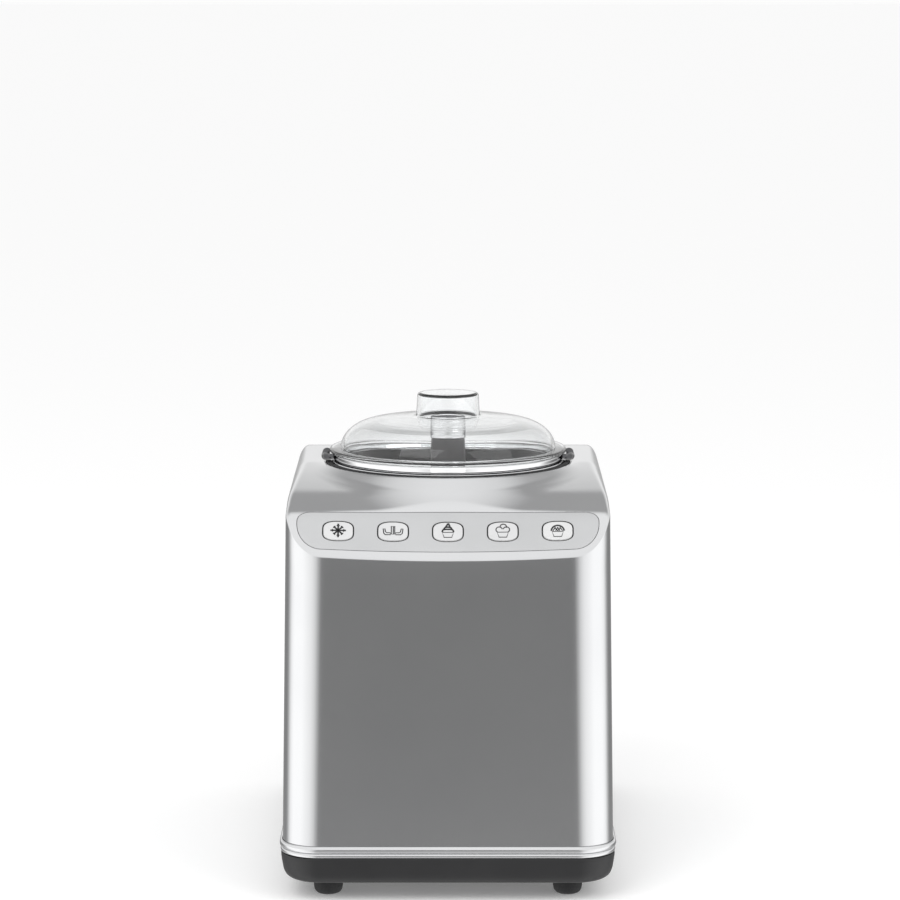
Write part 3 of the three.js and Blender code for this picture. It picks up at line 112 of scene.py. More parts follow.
FASCIA_W, FASCIA_H, FASCIA_MIDDLE = 203, 30.7, 0.546
FASCIA_TOP_R, FASCIA_FOOT_R, FASCIA_FOOT_RUN, FASCIA_LINE_BOW = 9, 20, 16, 2
BUTTON_W, BUTTON_H, BUTTON_PITCH = 20.8, 15.3, 36.9
BUTTONS = ("chill", "churn", "gelato", "ice_cream", "granita")

BOWL_R, BOWL_WALL, BOWL_CORNER = 73.9, 1.2, 9
RIM_FOOT = RIM_TOP - 5
LEDGE_R, LEDGE_Z = RIM_R - 4, RIM_FOOT + BOWL_WALL
CHIMNEY_R, CHIMNEY_TOP = 9.8, RIM_TOP + 6.5
TOWER_R, DOG_R, SHAFT_R = 8.6, 7.2, 4.8
WELL_R, WELL_RIM_R, WELL_CORNER, WELL_FLOOR = 74.9, 81.7, 7, BOWL_FOOT - 2
WELL_RIM_Z = WELL_HIGH.z
LID_R, LID_WALL = 83.5, 2.2
FLANGE_Z = RIM_TOP + GAP + 1.6
FOOT_R = 10
WELL_PAINTED_SHADE, BOWL_PAINTED_SHADE = 0.07, 0.12  # painted shade: how dark the inner sides are painted against the outer
COVER_W, COVER_LOW, COVER_HIGH = 160, 51.4, 212


# ---- mesh helpers
def make_mesh(name, points, faces, material, sharp=32):
    """New object from points in millimetres, with a material by name. Sharper edges stay crisp."""
    mesh = bpy.data.meshes.new(name)
    mesh.from_pydata([(x * MM, y * MM, z * MM) for x, y, z in points], [], faces)
    tidy_mesh(mesh, sharp)
    mesh.materials.append(MATERIALS[material])
    return placed(name, mesh)


def tidy_mesh(mesh, sharp):
    """Merges doubled points, turns faces outwards and shades smooth between crisp edges."""
    bm = bmesh.new()
    bm.from_mesh(mesh)
    bmesh.ops.remove_doubles(bm, verts=bm.verts, dist=2e-6)
    bmesh.ops.dissolve_degenerate(bm, edges=bm.edges, dist=1e-6)
    bmesh.ops.recalc_face_normals(bm, faces=bm.faces)
    bm.to_mesh(mesh)
    bm.free()
    mesh.shade_smooth()
    mesh.set_sharp_from_angle(angle=radians(sharp))


def apply_modifiers(obj, sharp=32):
    """Replaces an object's mesh by what its modifiers make of it."""
    graph = bpy.context.evaluated_depsgraph_get()
    made = bpy.data.meshes.new_from_object(obj.evaluated_get(graph))
    old = obj.data
    obj.modifiers.clear()
    obj.data = made
    bpy.data.meshes.remove(old)
    tidy_mesh(made, sharp)
    return obj


def bevelled(obj, width, segments=3, limit=40, sharp=32):
    """Rounds every edge that turns by more than the limit, in degrees."""
    bevel = obj.modifiers.new("edges", "BEVEL")
    bevel.width = width * MM
    bevel.segments = segments
    bevel.limit_method = "ANGLE"
    bevel.angle_limit = radians(limit)
    return apply_modifiers(obj, sharp)


def combined(obj, tools, operation, sharp=32):
    """Joins, cuts or trims an object by others, which are used up."""
    for tool in tools:
        step = obj.modifiers.new("solid", "BOOLEAN")
        step.operation = operation
        step.object = tool
        step.solver = "EXACT"
    apply_modifiers(obj, sharp)
    for tool in tools:
        bpy.data.objects.remove(tool)
    return obj


def arc(r, z, radius, start, end, steps, tall=None):
    """Points on an arc in a profile, from one angle to another in degrees."""
    tall = radius if tall is None else tall
    angles = [radians(start + (end - start) * i / steps) for i in range(steps + 1)]
    return [(r + radius * cos(a), z + tall * sin(a)) for a in angles]


def rounded(line, closed=True, steps=5):
    """Rounds a line's corners. A point may carry a third number, the radius of its corner."""
    out = []
    for i, point in enumerate(line):
        at = Vector(point[:2])
        radius = point[2] if len(point) > 2 else 0
        if radius == 0 or (not closed and i in (0, len(line) - 1)):
            out.append(tuple(at))
            continue
        back = Vector(line[i - 1][:2]) - at
        ahead = Vector(line[(i + 1) % len(line)][:2]) - at
        half = back.angle(ahead) / 2
        reach = min(radius / tan(half), 0.48 * back.length, 0.48 * ahead.length)
        a, b = at + back.normalized() * reach, at + ahead.normalized() * reach
        for j in range(steps + 1):
            t = j / steps
            out.append(tuple(a * (1 - t) ** 2 + at * 2 * t * (1 - t) + b * t * t))
    return out


def flowing(points, steps=8, closed=False):
    """A smooth line through points, by centripetal Catmull-Rom spans."""
    pts = [Vector(p) for p in points]
    n = len(pts)
    spans = n if closed else n - 1
    out = []
    for i in range(spans):
        p1, p2 = pts[i], pts[(i + 1) % n]
        p0 = pts[i - 1] if closed or i else p1 * 2 - p2
        p3 = pts[(i + 2) % n] if closed or i + 2 < n else p2 * 2 - p1
        d1, d2, d3 = ((b - a).length ** 0.5 for a, b in ((p0, p1), (p1, p2), (p2, p3)))
        m1 = (p2 - p1) + d2 * ((p1 - p0) / d1 - (p2 - p0) / (d1 + d2))
        m2 = (p2 - p1) + d2 * ((p3 - p2) / d3 - (p3 - p1) / (d2 + d3))
        for j in range(steps):
            t = j / steps
            a = (2 * t - 3) * t * t
            out.append(p1 * (a + 1) + p2 * -a + m1 * (t * (1 - t) ** 2) + m2 * ((t - 1) * t * t))
    if not closed:
        out.append(pts[-1])
    return [tuple(p) for p in out]


def lathe(name, profile, material, x=0.0, y=None, sides=144, sharp=32):
    """Turns a profile of (radius, height) about an upright axis, closed on itself or the axis."""
    y = AXIS_Y if y is None else y
    on_axis = profile[0][0] < 1e-6 and profile[-1][0] < 1e-6
    points, rings = [], []
    for r, z in profile:
        if r < 1e-6:
            rings.append([len(points)] * sides)
            points.append((x, y, z))
            continue
        rings.append(list(range(len(points), len(points) + sides)))
        for i in range(sides):
            angle = 2 * pi * i / sides
            points.append((x + r * cos(angle), y + r * sin(angle), z))
    pairs = list(zip(rings, rings[1:]))
    if not on_axis:
        pairs.append((rings[-1], rings[0]))
    return make_mesh(name, points, ring_faces(pairs), material, sharp)


def ring_faces(pairs):
    """Faces between pairs of rings of point numbers. A ring of one repeated point is a pole."""
    faces = []
    for low, high in pairs:
        for i in range(len(low)):
            j = (i + 1) % len(low)
            face = list(dict.fromkeys((low[i], low[j], high[j], high[i])))
            if len(face) > 2:
                faces.append(face)
    return faces


def skin(name, loops, material, closed=False, sharp=32):
    """Solid through loops of equal length, capped at its ends or joined into a ring."""
    n = len(loops[0])
    points = [p for loop in loops for p in loop]
    rings = [list(range(k * n, k * n + n)) for k in range(len(loops))]
    pairs = list(zip(rings, rings[1:]))
    if closed:
        pairs.append((rings[-1], rings[0]))
    faces = ring_faces(pairs)
    if not closed:
        faces += [rings[0][::-1], rings[-1]]
    return make_mesh(name, points, faces, material, sharp)


def sweep(name, section, path, material, closed=True, sharp=32):
    """Carries a section of (outward, height) round a path of (x, y, normal x, normal y)."""
    loops = [[(x + nx * out, y + ny * out, z) for out, z in section] for x, y, nx, ny in path]
    return skin(name, loops, material, closed, sharp)


def slab(name, line, low, high, material, place=None, sharp=32):
    """Extrudes a flat closed line from one height to another, then moves it by a matrix."""
    place = place or Matrix.Identity(4)
    loops = [[place @ Vector((x, y, z)) for x, y in line] for z in (low, high)]
    return skin(name, loops, material, sharp=sharp)


def block(name, size, centre, material, turn=None):
    """A box, for cutting and as the start of bevelled pieces."""
    w, d, h = (s / 2 for s in size)
    line = [(-w, -d), (w, -d), (w, d), (-w, d)]
    place = Matrix.Translation(centre) @ (turn or Matrix.Identity(4))
    return slab(name, line, -h, h, material, place)


# ---- material helpers
class Look:
    """A Principled material and short ways to wire texture into it."""

    def __init__(self, name, **values):
        self.material = bpy.data.materials.new(name)
        self.material.use_nodes = True
        self.nodes = self.material.node_tree.nodes
        self.links = self.material.node_tree.links
        self.shader = self.nodes["Principled BSDF"]
        for key, value in values.items():
            self.shader.inputs[key.replace("_", " ")].default_value = value
        self.place = self.node("ShaderNodeTexCoord").outputs["Object"]

    def node(self, kind, **values):
        made = self.nodes.new(kind)
        for key, value in values.items():
            made.inputs[key].default_value = value
        return made

    def join(self, source, target):
        self.links.new(source, target)

    def maths(self, operation, a, b=None):
        node = self.nodes.new("ShaderNodeMath")
        node.operation = operation
        for socket, value in zip(node.inputs, (a, b)):
            if isinstance(value, (int, float)):
                socket.default_value = value
            elif value is not None:
                self.join(value, socket)
        return node.outputs[0]

    def length(self, a, b):
        squares = [self.maths("MULTIPLY", side, side) for side in (a, b)]
        return self.maths("SQRT", self.maths("ADD", *squares))

    def stretched(self, scale, turn=(0, 0, 0)):
        """Object coordinates scaled unevenly, for grain that runs one way."""
        node = self.node("ShaderNodeMapping", Scale=scale, Rotation=turn)
        self.join(self.place, node.inputs["Vector"])
        return node.outputs["Vector"]

    def noise(self, scale, detail=4, rough=0.55, vector=None):
        node = self.node("ShaderNodeTexNoise", Scale=scale, Detail=detail, Roughness=rough)
        self.join(vector or self.place, node.inputs["Vector"])
        return node.outputs["Fac"]

    def cells(self, scale, vector=None):
        node = self.node("ShaderNodeTexVoronoi", Scale=scale)
        self.join(vector or self.place, node.inputs["Vector"])
        return node.outputs["Distance"]

    def ramp(self, source, stops):
        """Colours or greys set against a value, as (place, colour) stops."""
        node = self.node("ShaderNodeValToRGB")
        bar = node.color_ramp.elements
        while len(bar) < len(stops):
            bar.new(0.5)
        for element, (place, colour) in zip(bar, stops):
            element.position = place
            grey = isinstance(colour, (int, float))
            element.color = (colour, colour, colour, 1) if grey else (*colour, 1)
        self.join(source, node.inputs["Fac"])
        return node.outputs["Color"]

    def colour(self, source, low, high, start=0.3, end=0.7):
        tone = self.ramp(source, [(start, low), (end, high)])
        self.join(tone, self.shader.inputs["Base Color"])

    def roughness(self, source, low, high, start=0.3, end=0.7):
        tone = self.ramp(source, [(start, low), (end, high)])
        self.join(tone, self.shader.inputs["Roughness"])

    def bump(self, source, depth, strength=1.0):
        """Adds a bump of the given depth in millimetres on top of those already there."""
        node = self.node("ShaderNodeBump", Strength=strength, Distance=depth * MM)
        self.join(source, node.inputs["Height"])
        before = self.shader.inputs["Normal"].links
        if before:
            self.join(before[0].from_socket, node.inputs["Normal"])
        self.join(node.outputs["Normal"], self.shader.inputs["Normal"])


def satin_steel():
    look = Look("satin steel", Metallic=1.0)
    grain = look.noise(1500, 4, 0.6)
    cloud = look.noise(9, 3)
    look.colour(cloud, (0.67, 0.675, 0.685), (0.71, 0.715, 0.72))
    look.roughness(grain, 0.13, 0.19)
    look.bump(grain, 0.0015, 0.25)
    look.bump(cloud, 0.02, 0.1)
    return look.material


def bright_steel(name="polished steel", inside=None):
    """Polished steel. Painted shade darkens the inner side of a vessel, when inside describes one
    as for the shade painter below.
    """
    look = Look(name, Metallic=1.0, Specular_Tint=(0.12, 0.12, 0.125, 1))
    haze = look.noise(60, 4)
    lines = look.noise(1.0, 4, 0.6, look.stretched((60, 60, 3200)))
    look.colour(haze, (0.84, 0.845, 0.85), (0.90, 0.90, 0.905))
    look.roughness(lines, 0.05, 0.10, 0.3, 0.8)
    look.bump(lines, 0.001, 0.15)
    # painted shade on the inner side of the vessel
    if inside:
        paint_inner_shade(look, *inside)
    return look.material


def paint_inner_shade(look, centre, height, reach, shade):
    """Paints shade into the inside of a vessel: darkens what lies within reach of the line its
    corner turns about.
    """
    # painted shade: the colour inside the vessel is multiplied down to the shade tone, the outside
    # kept as it is
    split = look.node("ShaderNodeSeparateXYZ")
    look.join(look.place, split.inputs["Vector"])
    x, y, z = (split.outputs[k] for k in "XYZ")
    radius = look.length(x, look.maths("SUBTRACT", y, AXIS_Y * MM))
    out = look.maths("MAXIMUM", look.maths("SUBTRACT", radius, centre * MM), 0)
    down = look.maths("MAXIMUM", look.maths("SUBTRACT", height * MM, z), 0)
    off = look.length(out, down)
    share = look.ramp(look.maths("MULTIPLY", off, 0.5 / (reach * MM)), [(0.49, shade), (0.51, 1.0)])
    mix = look.node("ShaderNodeMix")
    mix.data_type, mix.blend_type = "RGBA", "MULTIPLY"
    mix.inputs["Factor"].default_value = 1.0
    colour = look.shader.inputs["Base Color"]
    look.join(colour.links[0].from_socket, mix.inputs[6])
    look.join(share, mix.inputs[7])
    look.join(mix.outputs[2], colour)


def well_steel():
    look = Look("drawn steel of the well, painted shade inside", Metallic=1.0)
    haze = look.noise(40, 4)
    lines = look.noise(1.0, 4, 0.6, look.stretched((50, 50, 2600)))
    look.colour(haze, (0.7, 0.71, 0.72), (0.8, 0.8, 0.81))
    look.roughness(lines, 0.08, 0.14, 0.3, 0.8)
    look.bump(lines, 0.003, 0.3)
    # painted shade: the well's inner side is darkened against its rim and outside
    paint_inner_shade(look, WELL_R - WELL_CORNER, WELL_FLOOR + WELL_CORNER, 7.6, WELL_PAINTED_SHADE)
    return look.material


def plastic(name, low, high, rough, grain_size=900, grain_depth=0.02, coat=0.0):
    """Moulded plastic with spark-eroded grain and faint cloudiness."""
    look = Look(name, Coat_Weight=coat)
    cloud = look.noise(22, 4)
    grain = look.noise(grain_size, 3)
    look.colour(cloud, low, high)
    look.roughness(grain, rough - 0.06, rough + 0.07)
    look.bump(grain, grain_depth, 0.5)
    look.bump(cloud, 0.02, 0.2)
    return look.material


def panel_plastic():
    look = Look("silver panel", Metallic=0.35)
    fleck = look.cells(3200)
    cloud = look.noise(14, 3)
    look.colour(cloud, (0.475, 0.48, 0.485), (0.52, 0.525, 0.53))
    look.roughness(fleck, 0.34, 0.44, 0.1, 0.6)
    look.bump(fleck, 0.004, 0.35)
    return look.material


def key_plastic():
    look = Look("pale key", Coat_Weight=0.25, Coat_Roughness=0.12)
    cloud = look.noise(30, 3)
    fleck = look.noise(1500, 2)
    look.colour(cloud, (0.57, 0.57, 0.575), (0.63, 0.63, 0.63))
    look.roughness(fleck, 0.26, 0.34)
    look.bump(fleck, 0.004, 0.3)
    return look.material


def ink():
    look = Look("printed ink")
    speck = look.noise(1400, 3)
    look.colour(speck, (0.012, 0.012, 0.013), (0.03, 0.03, 0.032), 0.3, 0.8)
    look.roughness(speck, 0.45, 0.6)
    return look.material


def clear_plastic():
    look = Look("clear plastic", Transmission_Weight=1.0, IOR=1.5)
    smear = look.noise(26, 4)
    ripple = look.noise(9, 2)
    look.colour(smear, (0.955, 0.965, 0.97), (0.985, 0.99, 0.99))
    look.roughness(smear, 0.0, 0.035, 0.45, 0.85)
    look.bump(ripple, 0.05, 0.12)
    return look.material


def rubber():
    look = Look("black rubber", Specular_IOR_Level=0.4)
    dust = look.noise(120, 5)
    grain = look.noise(1100, 3)
    look.colour(dust, (0.010, 0.010, 0.011), (0.022, 0.022, 0.023), 0.35, 0.8)
    look.roughness(grain, 0.55, 0.75)
    look.bump(grain, 0.02, 0.5)
    return look.material


def metal(name, low, high, rough, streaks=(80, 80, 900), depth=0.01):
    """A workaday metal with uneven tone and directional marks."""
    look = Look(name, Metallic=1.0)
    tone = look.noise(45, 5, 0.65)
    marks = look.noise(1.0, 4, 0.6, look.stretched(streaks))
    look.colour(tone, low, high, 0.3, 0.75)
    look.roughness(marks, rough - 0.08, rough + 0.12, 0.3, 0.75)
    look.bump(marks, depth, 0.4)
    return look.material


def foam():
    look = Look("foam")
    beads = look.cells(420)
    tone = look.noise(30, 4)
    look.colour(tone, (0.62, 0.58, 0.46), (0.74, 0.70, 0.58))
    look.roughness(beads, 0.95, 0.8, 0.0, 0.7)
    look.bump(beads, 0.4, 0.8)
    return look.material


def enamel():
    look = Look("black enamel", Coat_Weight=0.5, Coat_Roughness=0.2)
    peel = look.noise(260, 2)
    tone = look.noise(30, 4)
    look.colour(tone, (0.008, 0.008, 0.009), (0.018, 0.018, 0.02), 0.3, 0.75)
    look.roughness(peel, 0.28, 0.4)
    look.bump(peel, 0.05, 0.4)
    return look.material


def circuit_board():
    look = Look("circuit board", Coat_Weight=0.4, Coat_Roughness=0.15)
    tracks = look.node("ShaderNodeTexBrick", Scale=90.0)
    look.join(look.stretched((1, 1, 1), (radians(90), 0, 0)), tracks.inputs["Vector"])
    look.colour(tracks.outputs["Fac"], (0.012, 0.09, 0.04), (0.03, 0.17, 0.08), 0.2, 0.8)
    look.roughness(look.noise(300), 0.3, 0.45)
    look.bump(tracks.outputs["Fac"], 0.05, 0.6)
    return look.material


CHARCOAL = ((0.046, 0.044, 0.046), (0.060, 0.057, 0.059))
MATERIALS = {
    "satin_steel": satin_steel(),
    "bright_steel": bright_steel(),
    # painted shade: the bowl's inner side is darkened against its outside
    "bowl_steel": bright_steel(
        "bowl steel, painted shade inside", (BOWL_R - BOWL_CORNER, BOWL_FOOT + BOWL_CORNER, 8.0, BOWL_PAINTED_SHADE)
    ),
    "well_steel": well_steel(),
    "dark_plastic": plastic("charcoal plastic", *CHARCOAL, 0.46),
    "base_plastic": plastic("base plastic", (0.009, 0.009, 0.010), (0.014, 0.014, 0.015), 0.42),
    "black_plastic": plastic(
        "black plastic", (0.010, 0.010, 0.011), (0.018, 0.018, 0.019), 0.42
    ),
    "panel_plastic": panel_plastic(),
    "key_plastic": key_plastic(),
    "ink": ink(),
    "clear_plastic": clear_plastic(),
    "rubber": rubber(),
    "copper": metal("copper tube", (0.55, 0.22, 0.10), (0.78, 0.36, 0.20), 0.3),
    "brass": metal("bearing bronze", (0.45, 0.32, 0.12), (0.62, 0.46, 0.20), 0.38),
    "foam": foam(),
    "nylon": plastic("nylon", (0.68, 0.66, 0.58), (0.78, 0.76, 0.68), 0.45),
    "black_enamel": enamel(),
    "zinc_steel": metal(
        "zinc plated steel", (0.48, 0.48, 0.45), (0.62, 0.61, 0.56), 0.36, (300, 300, 300)
    ),
    "circuit_board": circuit_board(),
}


# ---- form of the body
def smooth_min(a, b, k):
    h = max(k - abs(a - b), 0) / k
    return min(a, b) - h * h * k / 4


def smooth_max(a, b, k):
    return -smooth_min(-a, -b, k)


def top_height(x, y):
    """Height of the body's top over a point of the plan, before its edges are rounded."""
    front = -HALF_D + DRAFT
    fascia = FASCIA_FOOT_Z + FASCIA_BOW * (x / HALF_W) ** 2 + tan(FASCIA_ANGLE) * (y - front)
    brow_y = front + BROW_RISE / tan(FASCIA_ANGLE)
    brow = FASCIA_FOOT_Z + BROW_RISE + tan(BROW_ANGLE) * (y - brow_y)
    ahead, past = max(0.0, AXIS_Y - y), max(0.0, y - TAIL_START)
    deck = DECK_Z - COLLAR_PROUD - NOSE[0] * ahead - NOSE[1] * ahead * ahead
    deck -= TAIL[0] * past + TAIL[1] * past * past
    beyond = max(0.0, hypot(x, y - AXIS_Y) - HOLE_R - 1.5)
    collar = DECK_Z - COLLAR_SLOPE * beyond
    blend = min(COLLAR_PROUD + 0.3 * beyond, 5)
    return smooth_min(fascia, smooth_max(smooth_min(brow, deck, 1.5), collar, blend), 4)


def plan(half_w, half_d, radius, end=60, side=48, corner=16):
    """Rounded rectangle from the middle of the front, as (x, y, normal x, normal y)."""
    w, d = half_w - radius, half_d - radius
    points = []

    def edge(x0, y0, x1, y1, n, nx, ny):
        for i in range(n):
            points.append((x0 + (x1 - x0) * i / n, y0 + (y1 - y0) * i / n, nx, ny))

    def bend(cx, cy, start):
        for i in range(corner):
            a = radians(start + 90 * i / corner)
            nx, ny = cos(a), sin(a)
            points.append((cx + radius * nx, cy + radius * ny, nx, ny))

    edge(0, -half_d, w, -half_d, end // 2, 0, -1)
    bend(w, -d, -90)
    edge(half_w, -d, half_w, d, side, 1, 0)
    bend(w, d, 0)
    edge(w, half_d, -w, half_d, end, 0, 1)
    bend(-w, d, 90)
    edge(-half_w, d, -half_w, -d, side, -1, 0)
    bend(-w, -d, 180)
    edge(-w, -half_d, 0, -half_d, end // 2, 0, -1)
    return points


def edge_size(y, inset):
    """Run and drop of the rounded top edge, which tightens towards the front."""
    reach = HALF_D - DRAFT - CORNER_R + AXIS_Y
    front = min(1.0, max(0.0, (AXIS_Y - y) / reach)) ** 1.5
    run = SHOULDER[0] + (FRONT_EDGE[0] - SHOULDER[0]) * front
    drop = SHOULDER[1] + (FRONT_EDGE[1] - SHOULDER[1]) * front
    return run - inset / 2, drop - inset / 2


def top_point(p, inward, inset):
    """A point of the top skin, a way in from the edge towards the well's axis."""
    x0, y0 = p[:2]
    run, drop = edge_size(y0, inset)
    share = inward / hypot(x0, y0 - AXIS_Y)
    x, y = x0 - x0 * share, y0 - (y0 - AXIS_Y) * share
    depth = max(0.0, 1 - inward / run)
    down = drop * (1 - sqrt(max(0.0, 1 - depth * depth)))
    return (x, y, top_height(x, y) - inset - down)


def body_loops(inset, foot, walls, edges, decks, stop):
    """Loops over the body's skin from its foot up the walls, over the edge and in to the well."""
    low = plan(HALF_W - inset, HALF_D - inset, CORNER_R - inset)
    high = plan(HALF_W - DRAFT - inset, HALF_D - DRAFT - inset, CORNER_R - inset)
    brim = [top_point(p, 0, inset) for p in high]
    loops = []
    for k in range(walls):
        t = k / walls
        loops.append([
            (a[0] + (b[0] - a[0]) * t, a[1] + (b[1] - a[1]) * t, foot + (b[2] - foot) * t)
            for a, b in zip(low, brim)
        ])
    for k in range(edges + 1):
        share = 1 - cos(radians(90 * k / edges))
        loops.append([top_point(p, edge_size(p[1], inset)[0] * share, inset) for p in high])
    for k in range(1, decks + 1):
        loop = []
        for p in high:
            run = edge_size(p[1], inset)[0]
            span = hypot(p[0], p[1] - AXIS_Y) - stop - run
            loop.append(top_point(p, run + span * k / decks, inset))
        loops.append(loop)
    return loops


def circle_like(loop, radius, z):
    """A loop's points moved to a radius about the well's axis and to one height."""
    out = []
    for x, y, _ in loop:
        reach = hypot(x, y - AXIS_Y)
        out.append((x * radius / reach, AXIS_Y + (y - AXIS_Y) * radius / reach, z))
    return out


def body_sheet(name, material):
    """The whole steel sheet: outside, the turned-down edge of the well's hole, and inside."""
    foot = BASE_TOP + GAP
    outside = body_loops(0, foot, 10, 12, 56, HOLE_R + 1.2)
    lip = [
        circle_like(outside[-1], r, z)
        for r, z in arc(HOLE_R + 1.2, DECK_Z - 1.2, 1.2, 90, 180, 5)[1:] + [(HOLE_R, DECK_Z - 3.4)]
    ]
    inside = body_loops(SKIN, foot, 4, 6, 24, HOLE_R + SKIN + 0.6)
    neck = [circle_like(outside[-1], HOLE_R + SKIN, DECK_Z - 3.4)]
    return skin(name, outside + lip + neck + inside[::-1], material, closed=True, sharp=28)


# ---- the sloping panel
def on_fascia(out=0.0, across=0.0):
    """Matrix from a flat drawing, x across and y up the slope, to its place on the panel."""
    rise = FASCIA_MIDDLE * BROW_RISE
    y = -HALF_D + DRAFT + rise / tan(FASCIA_ANGLE)
    swell = FASCIA_BOW * cos(FASCIA_ANGLE) * (across / HALF_W) ** 2
    tilt = atan(2 * swell / across) if across else 0.0
    slope = Matrix.Translation((0, y, FASCIA_FOOT_Z + rise)) @ Matrix.Rotation(FASCIA_ANGLE, 4, "X")
    lean = Matrix.Translation((across, 0, swell)) @ Matrix.Rotation(-tilt, 4, "Y")
    return slope @ lean @ Matrix.Translation((0, 0, out))


def fascia_line(grow, steps=14):
    w, h = FASCIA_W / 2 + grow, FASCIA_H / 2 + grow
    top, foot, run = FASCIA_TOP_R + grow, FASCIA_FOOT_R + grow, FASCIA_FOOT_RUN + grow
    line = arc(w - top, h - top, top, 0, 90, steps) + arc(-w + top, h - top, top, 90, 180, steps)
    line += arc(-w + run, -h + foot, run, 180, 270, steps, foot)
    line += [((w - run) * (k / 8 - 1), -h) for k in range(1, 16)]
    line += arc(w - run, -h + foot, run, 270, 360, steps, foot)
    return [(x, y + FASCIA_LINE_BOW * (x / w) ** 2 * (h - y) / (2 * h)) for x, y in line]


def key_line(grow, steps=72):
    """Outline of a key: bowed above and below, with soft corners."""
    w, h = BUTTON_W / 2 + grow, BUTTON_H / 2 + grow
    out = []
    for i in range(steps):
        a = 2 * pi * (i + 0.5) / steps
        c, s = cos(a), sin(a)
        x = w * copysign(abs(c) ** 0.52, c)
        y = h * copysign(abs(s) ** 0.52, s)
        out.append((x, y * (0.86 + 0.14 * cos(pi * x / (2 * w)))))
    return out


def button_x(i):
    return (i - (len(BUTTONS) - 1) / 2) * BUTTON_PITCH


def shell_and_fascia():
    """The sheet is cut for the panel, vents and rear cover; the panel is cut from the same form."""
    shell = body_sheet("shell", "satin_steel")
    fascia = body_sheet("fascia", "panel_plastic")
    keys = [
        slab("cut", key_line(0.4), -CUT, CUT, "panel_plastic", on_fascia(0, button_x(i)))
        for i in range(len(BUTTONS))
    ]
    outline = slab("cut", fascia_line(0), -CUT, CUT, "panel_plastic", on_fascia())
    combined(fascia, [outline], "INTERSECT", 28)
    combined(fascia, keys, "DIFFERENCE", 28)
    window = rounded_rect(COVER_W / 2, (COVER_HIGH - COVER_LOW) / 2, 6)
    upright = Matrix.Translation((0, HALF_D, (COVER_LOW + COVER_HIGH) / 2)) @ turned(90, "X")
    cuts = [
        slab("cut", fascia_line(0.4), -CUT, CUT, "satin_steel", on_fascia()),
        slab("cut", window, -CUT, CUT, "satin_steel", upright),
    ]
    cuts += vent_cutters("satin_steel")
    combined(shell, cuts, "DIFFERENCE", 28)
    finish(shell, "housing", "satin_steel", "outer_shell")
    finish(fascia, "housing", "panel_plastic", "control_fascia")


def rounded_rect(w, h, r, steps=6):
    return (
        arc(w - r, h - r, r, 0, 90, steps)
        + arc(-w + r, h - r, r, 90, 180, steps)
        + arc(-w + r, -h + r, r, 180, 270, steps)
        + arc(w - r, -h + r, r, 270, 360, steps)
    )


def vent_cutters(material, count=7, pitch=10, wide=4.2, tall=46):
    """Upright slots through each side wall, level with the condenser."""
    middle_y = middle("fan_shroud").y
    foot = TRIM_HIGH.z + 18
    slot = rounded_rect(wide / 2, tall / 2, wide / 2 - 0.01, 5)
    out = []
    for side in (-1, 1):
        for i in range(count):
            y = middle_y + (i - (count - 1) / 2) * pitch
            upright = turned(90, "Z") @ turned(90, "X")
            place = Matrix.Translation((side * HALF_W, y, foot + tall / 2)) @ upright
            out.append(slab("cut", slot, -8, 8, material, place))
    return out


def finish(piece, body, slot, *nodes):
    """Attaches a piece to what it rides on and hides the CAD nodes it stands for. The slot, the
    record's finish, is not used.
    """
    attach(piece, body)
    if nodes:
        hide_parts(*nodes)


# ---- keys and their printed symbols
def key(i, name):
    """A key with a rounded edge and a slightly crowned face."""
    rows = [(0.0, -3.2), (0.0, 0.0), (0.10, 0.28), (0.32, 0.50), (0.66, 0.64), (1.2, 0.70)]
    rows += [(3.0, 0.75), (5.0, 0.79)]
    loops = []
    for inward, out in rows:
        place = on_fascia(out, button_x(i))
        loops.append([place @ Vector((x, y, 0)) for x, y in key_line(-0.45 - inward)])
    piece = skin(f"key_{name}", loops, "key_plastic", sharp=40)
    finish(piece, f"key_{name}", "key_plastic", f"button_{name}")
    print_symbol(i, name)
    key_seat(i, name)


def key_seat(i, name):
    """Dark gasket sheet that shows in the gap round a key."""
    rows = [(1.6, -3.1), (1.6, -1.8), (0.3, -1.8), (0.3, -0.5), (-0.12, -0.5), (-0.12, -3.1)]
    loops = [
        [on_fascia(z, button_x(i)) @ Vector((x, y, 0)) for x, y in key_line(grow)]
        for grow, z in rows
    ]
    piece = skin(f"seat_{name}", loops, "rubber", closed=True, sharp=40)
    finish(piece, "housing", "rubber")


STROKE_SCALE = 1.5


def ribbon(line, width, closed):
    """Left and right edge of a drawn stroke."""
    pts = [Vector(p) for p in line]
    n = len(pts)
    left, right = [], []
    for i, p in enumerate(pts):
        before = pts[i - 1] if closed or i else p
        after = pts[(i + 1) % n] if closed or i + 1 < n else p
        way = (after - before).normalized()
        side = Vector((-way.y, way.x)) * width / 2
        left.append(p + side)
        right.append(p - side)
    return left, right


def stroke_mesh(strokes, place, name, low=0.60, high=0.86):
    """All strokes of one symbol as thin raised ink, one closed body to a stroke."""
    points, faces = [], []
    for line, width, closed in strokes:
        left, right = ribbon(line, width, closed)
        n, base = len(left), len(points)
        for side, z in ((left, low), (right, low), (right, high), (left, high)):
            points += [place @ Vector((p.x, p.y, z)) for p in side]
        last = n if closed else n - 1
        for k in range(4):
            a, b = base + k * n, base + ((k + 1) % 4) * n
            for i in range(last):
                j = (i + 1) % n
                faces.append((a + i, a + j, b + j, b + i))
        if not closed:
            faces.append([base + k * n for k in range(4)])
            faces.append([base + k * n + n - 1 for k in range(4)][::-1])
    return make_mesh(name, points, faces, "ink", 30)


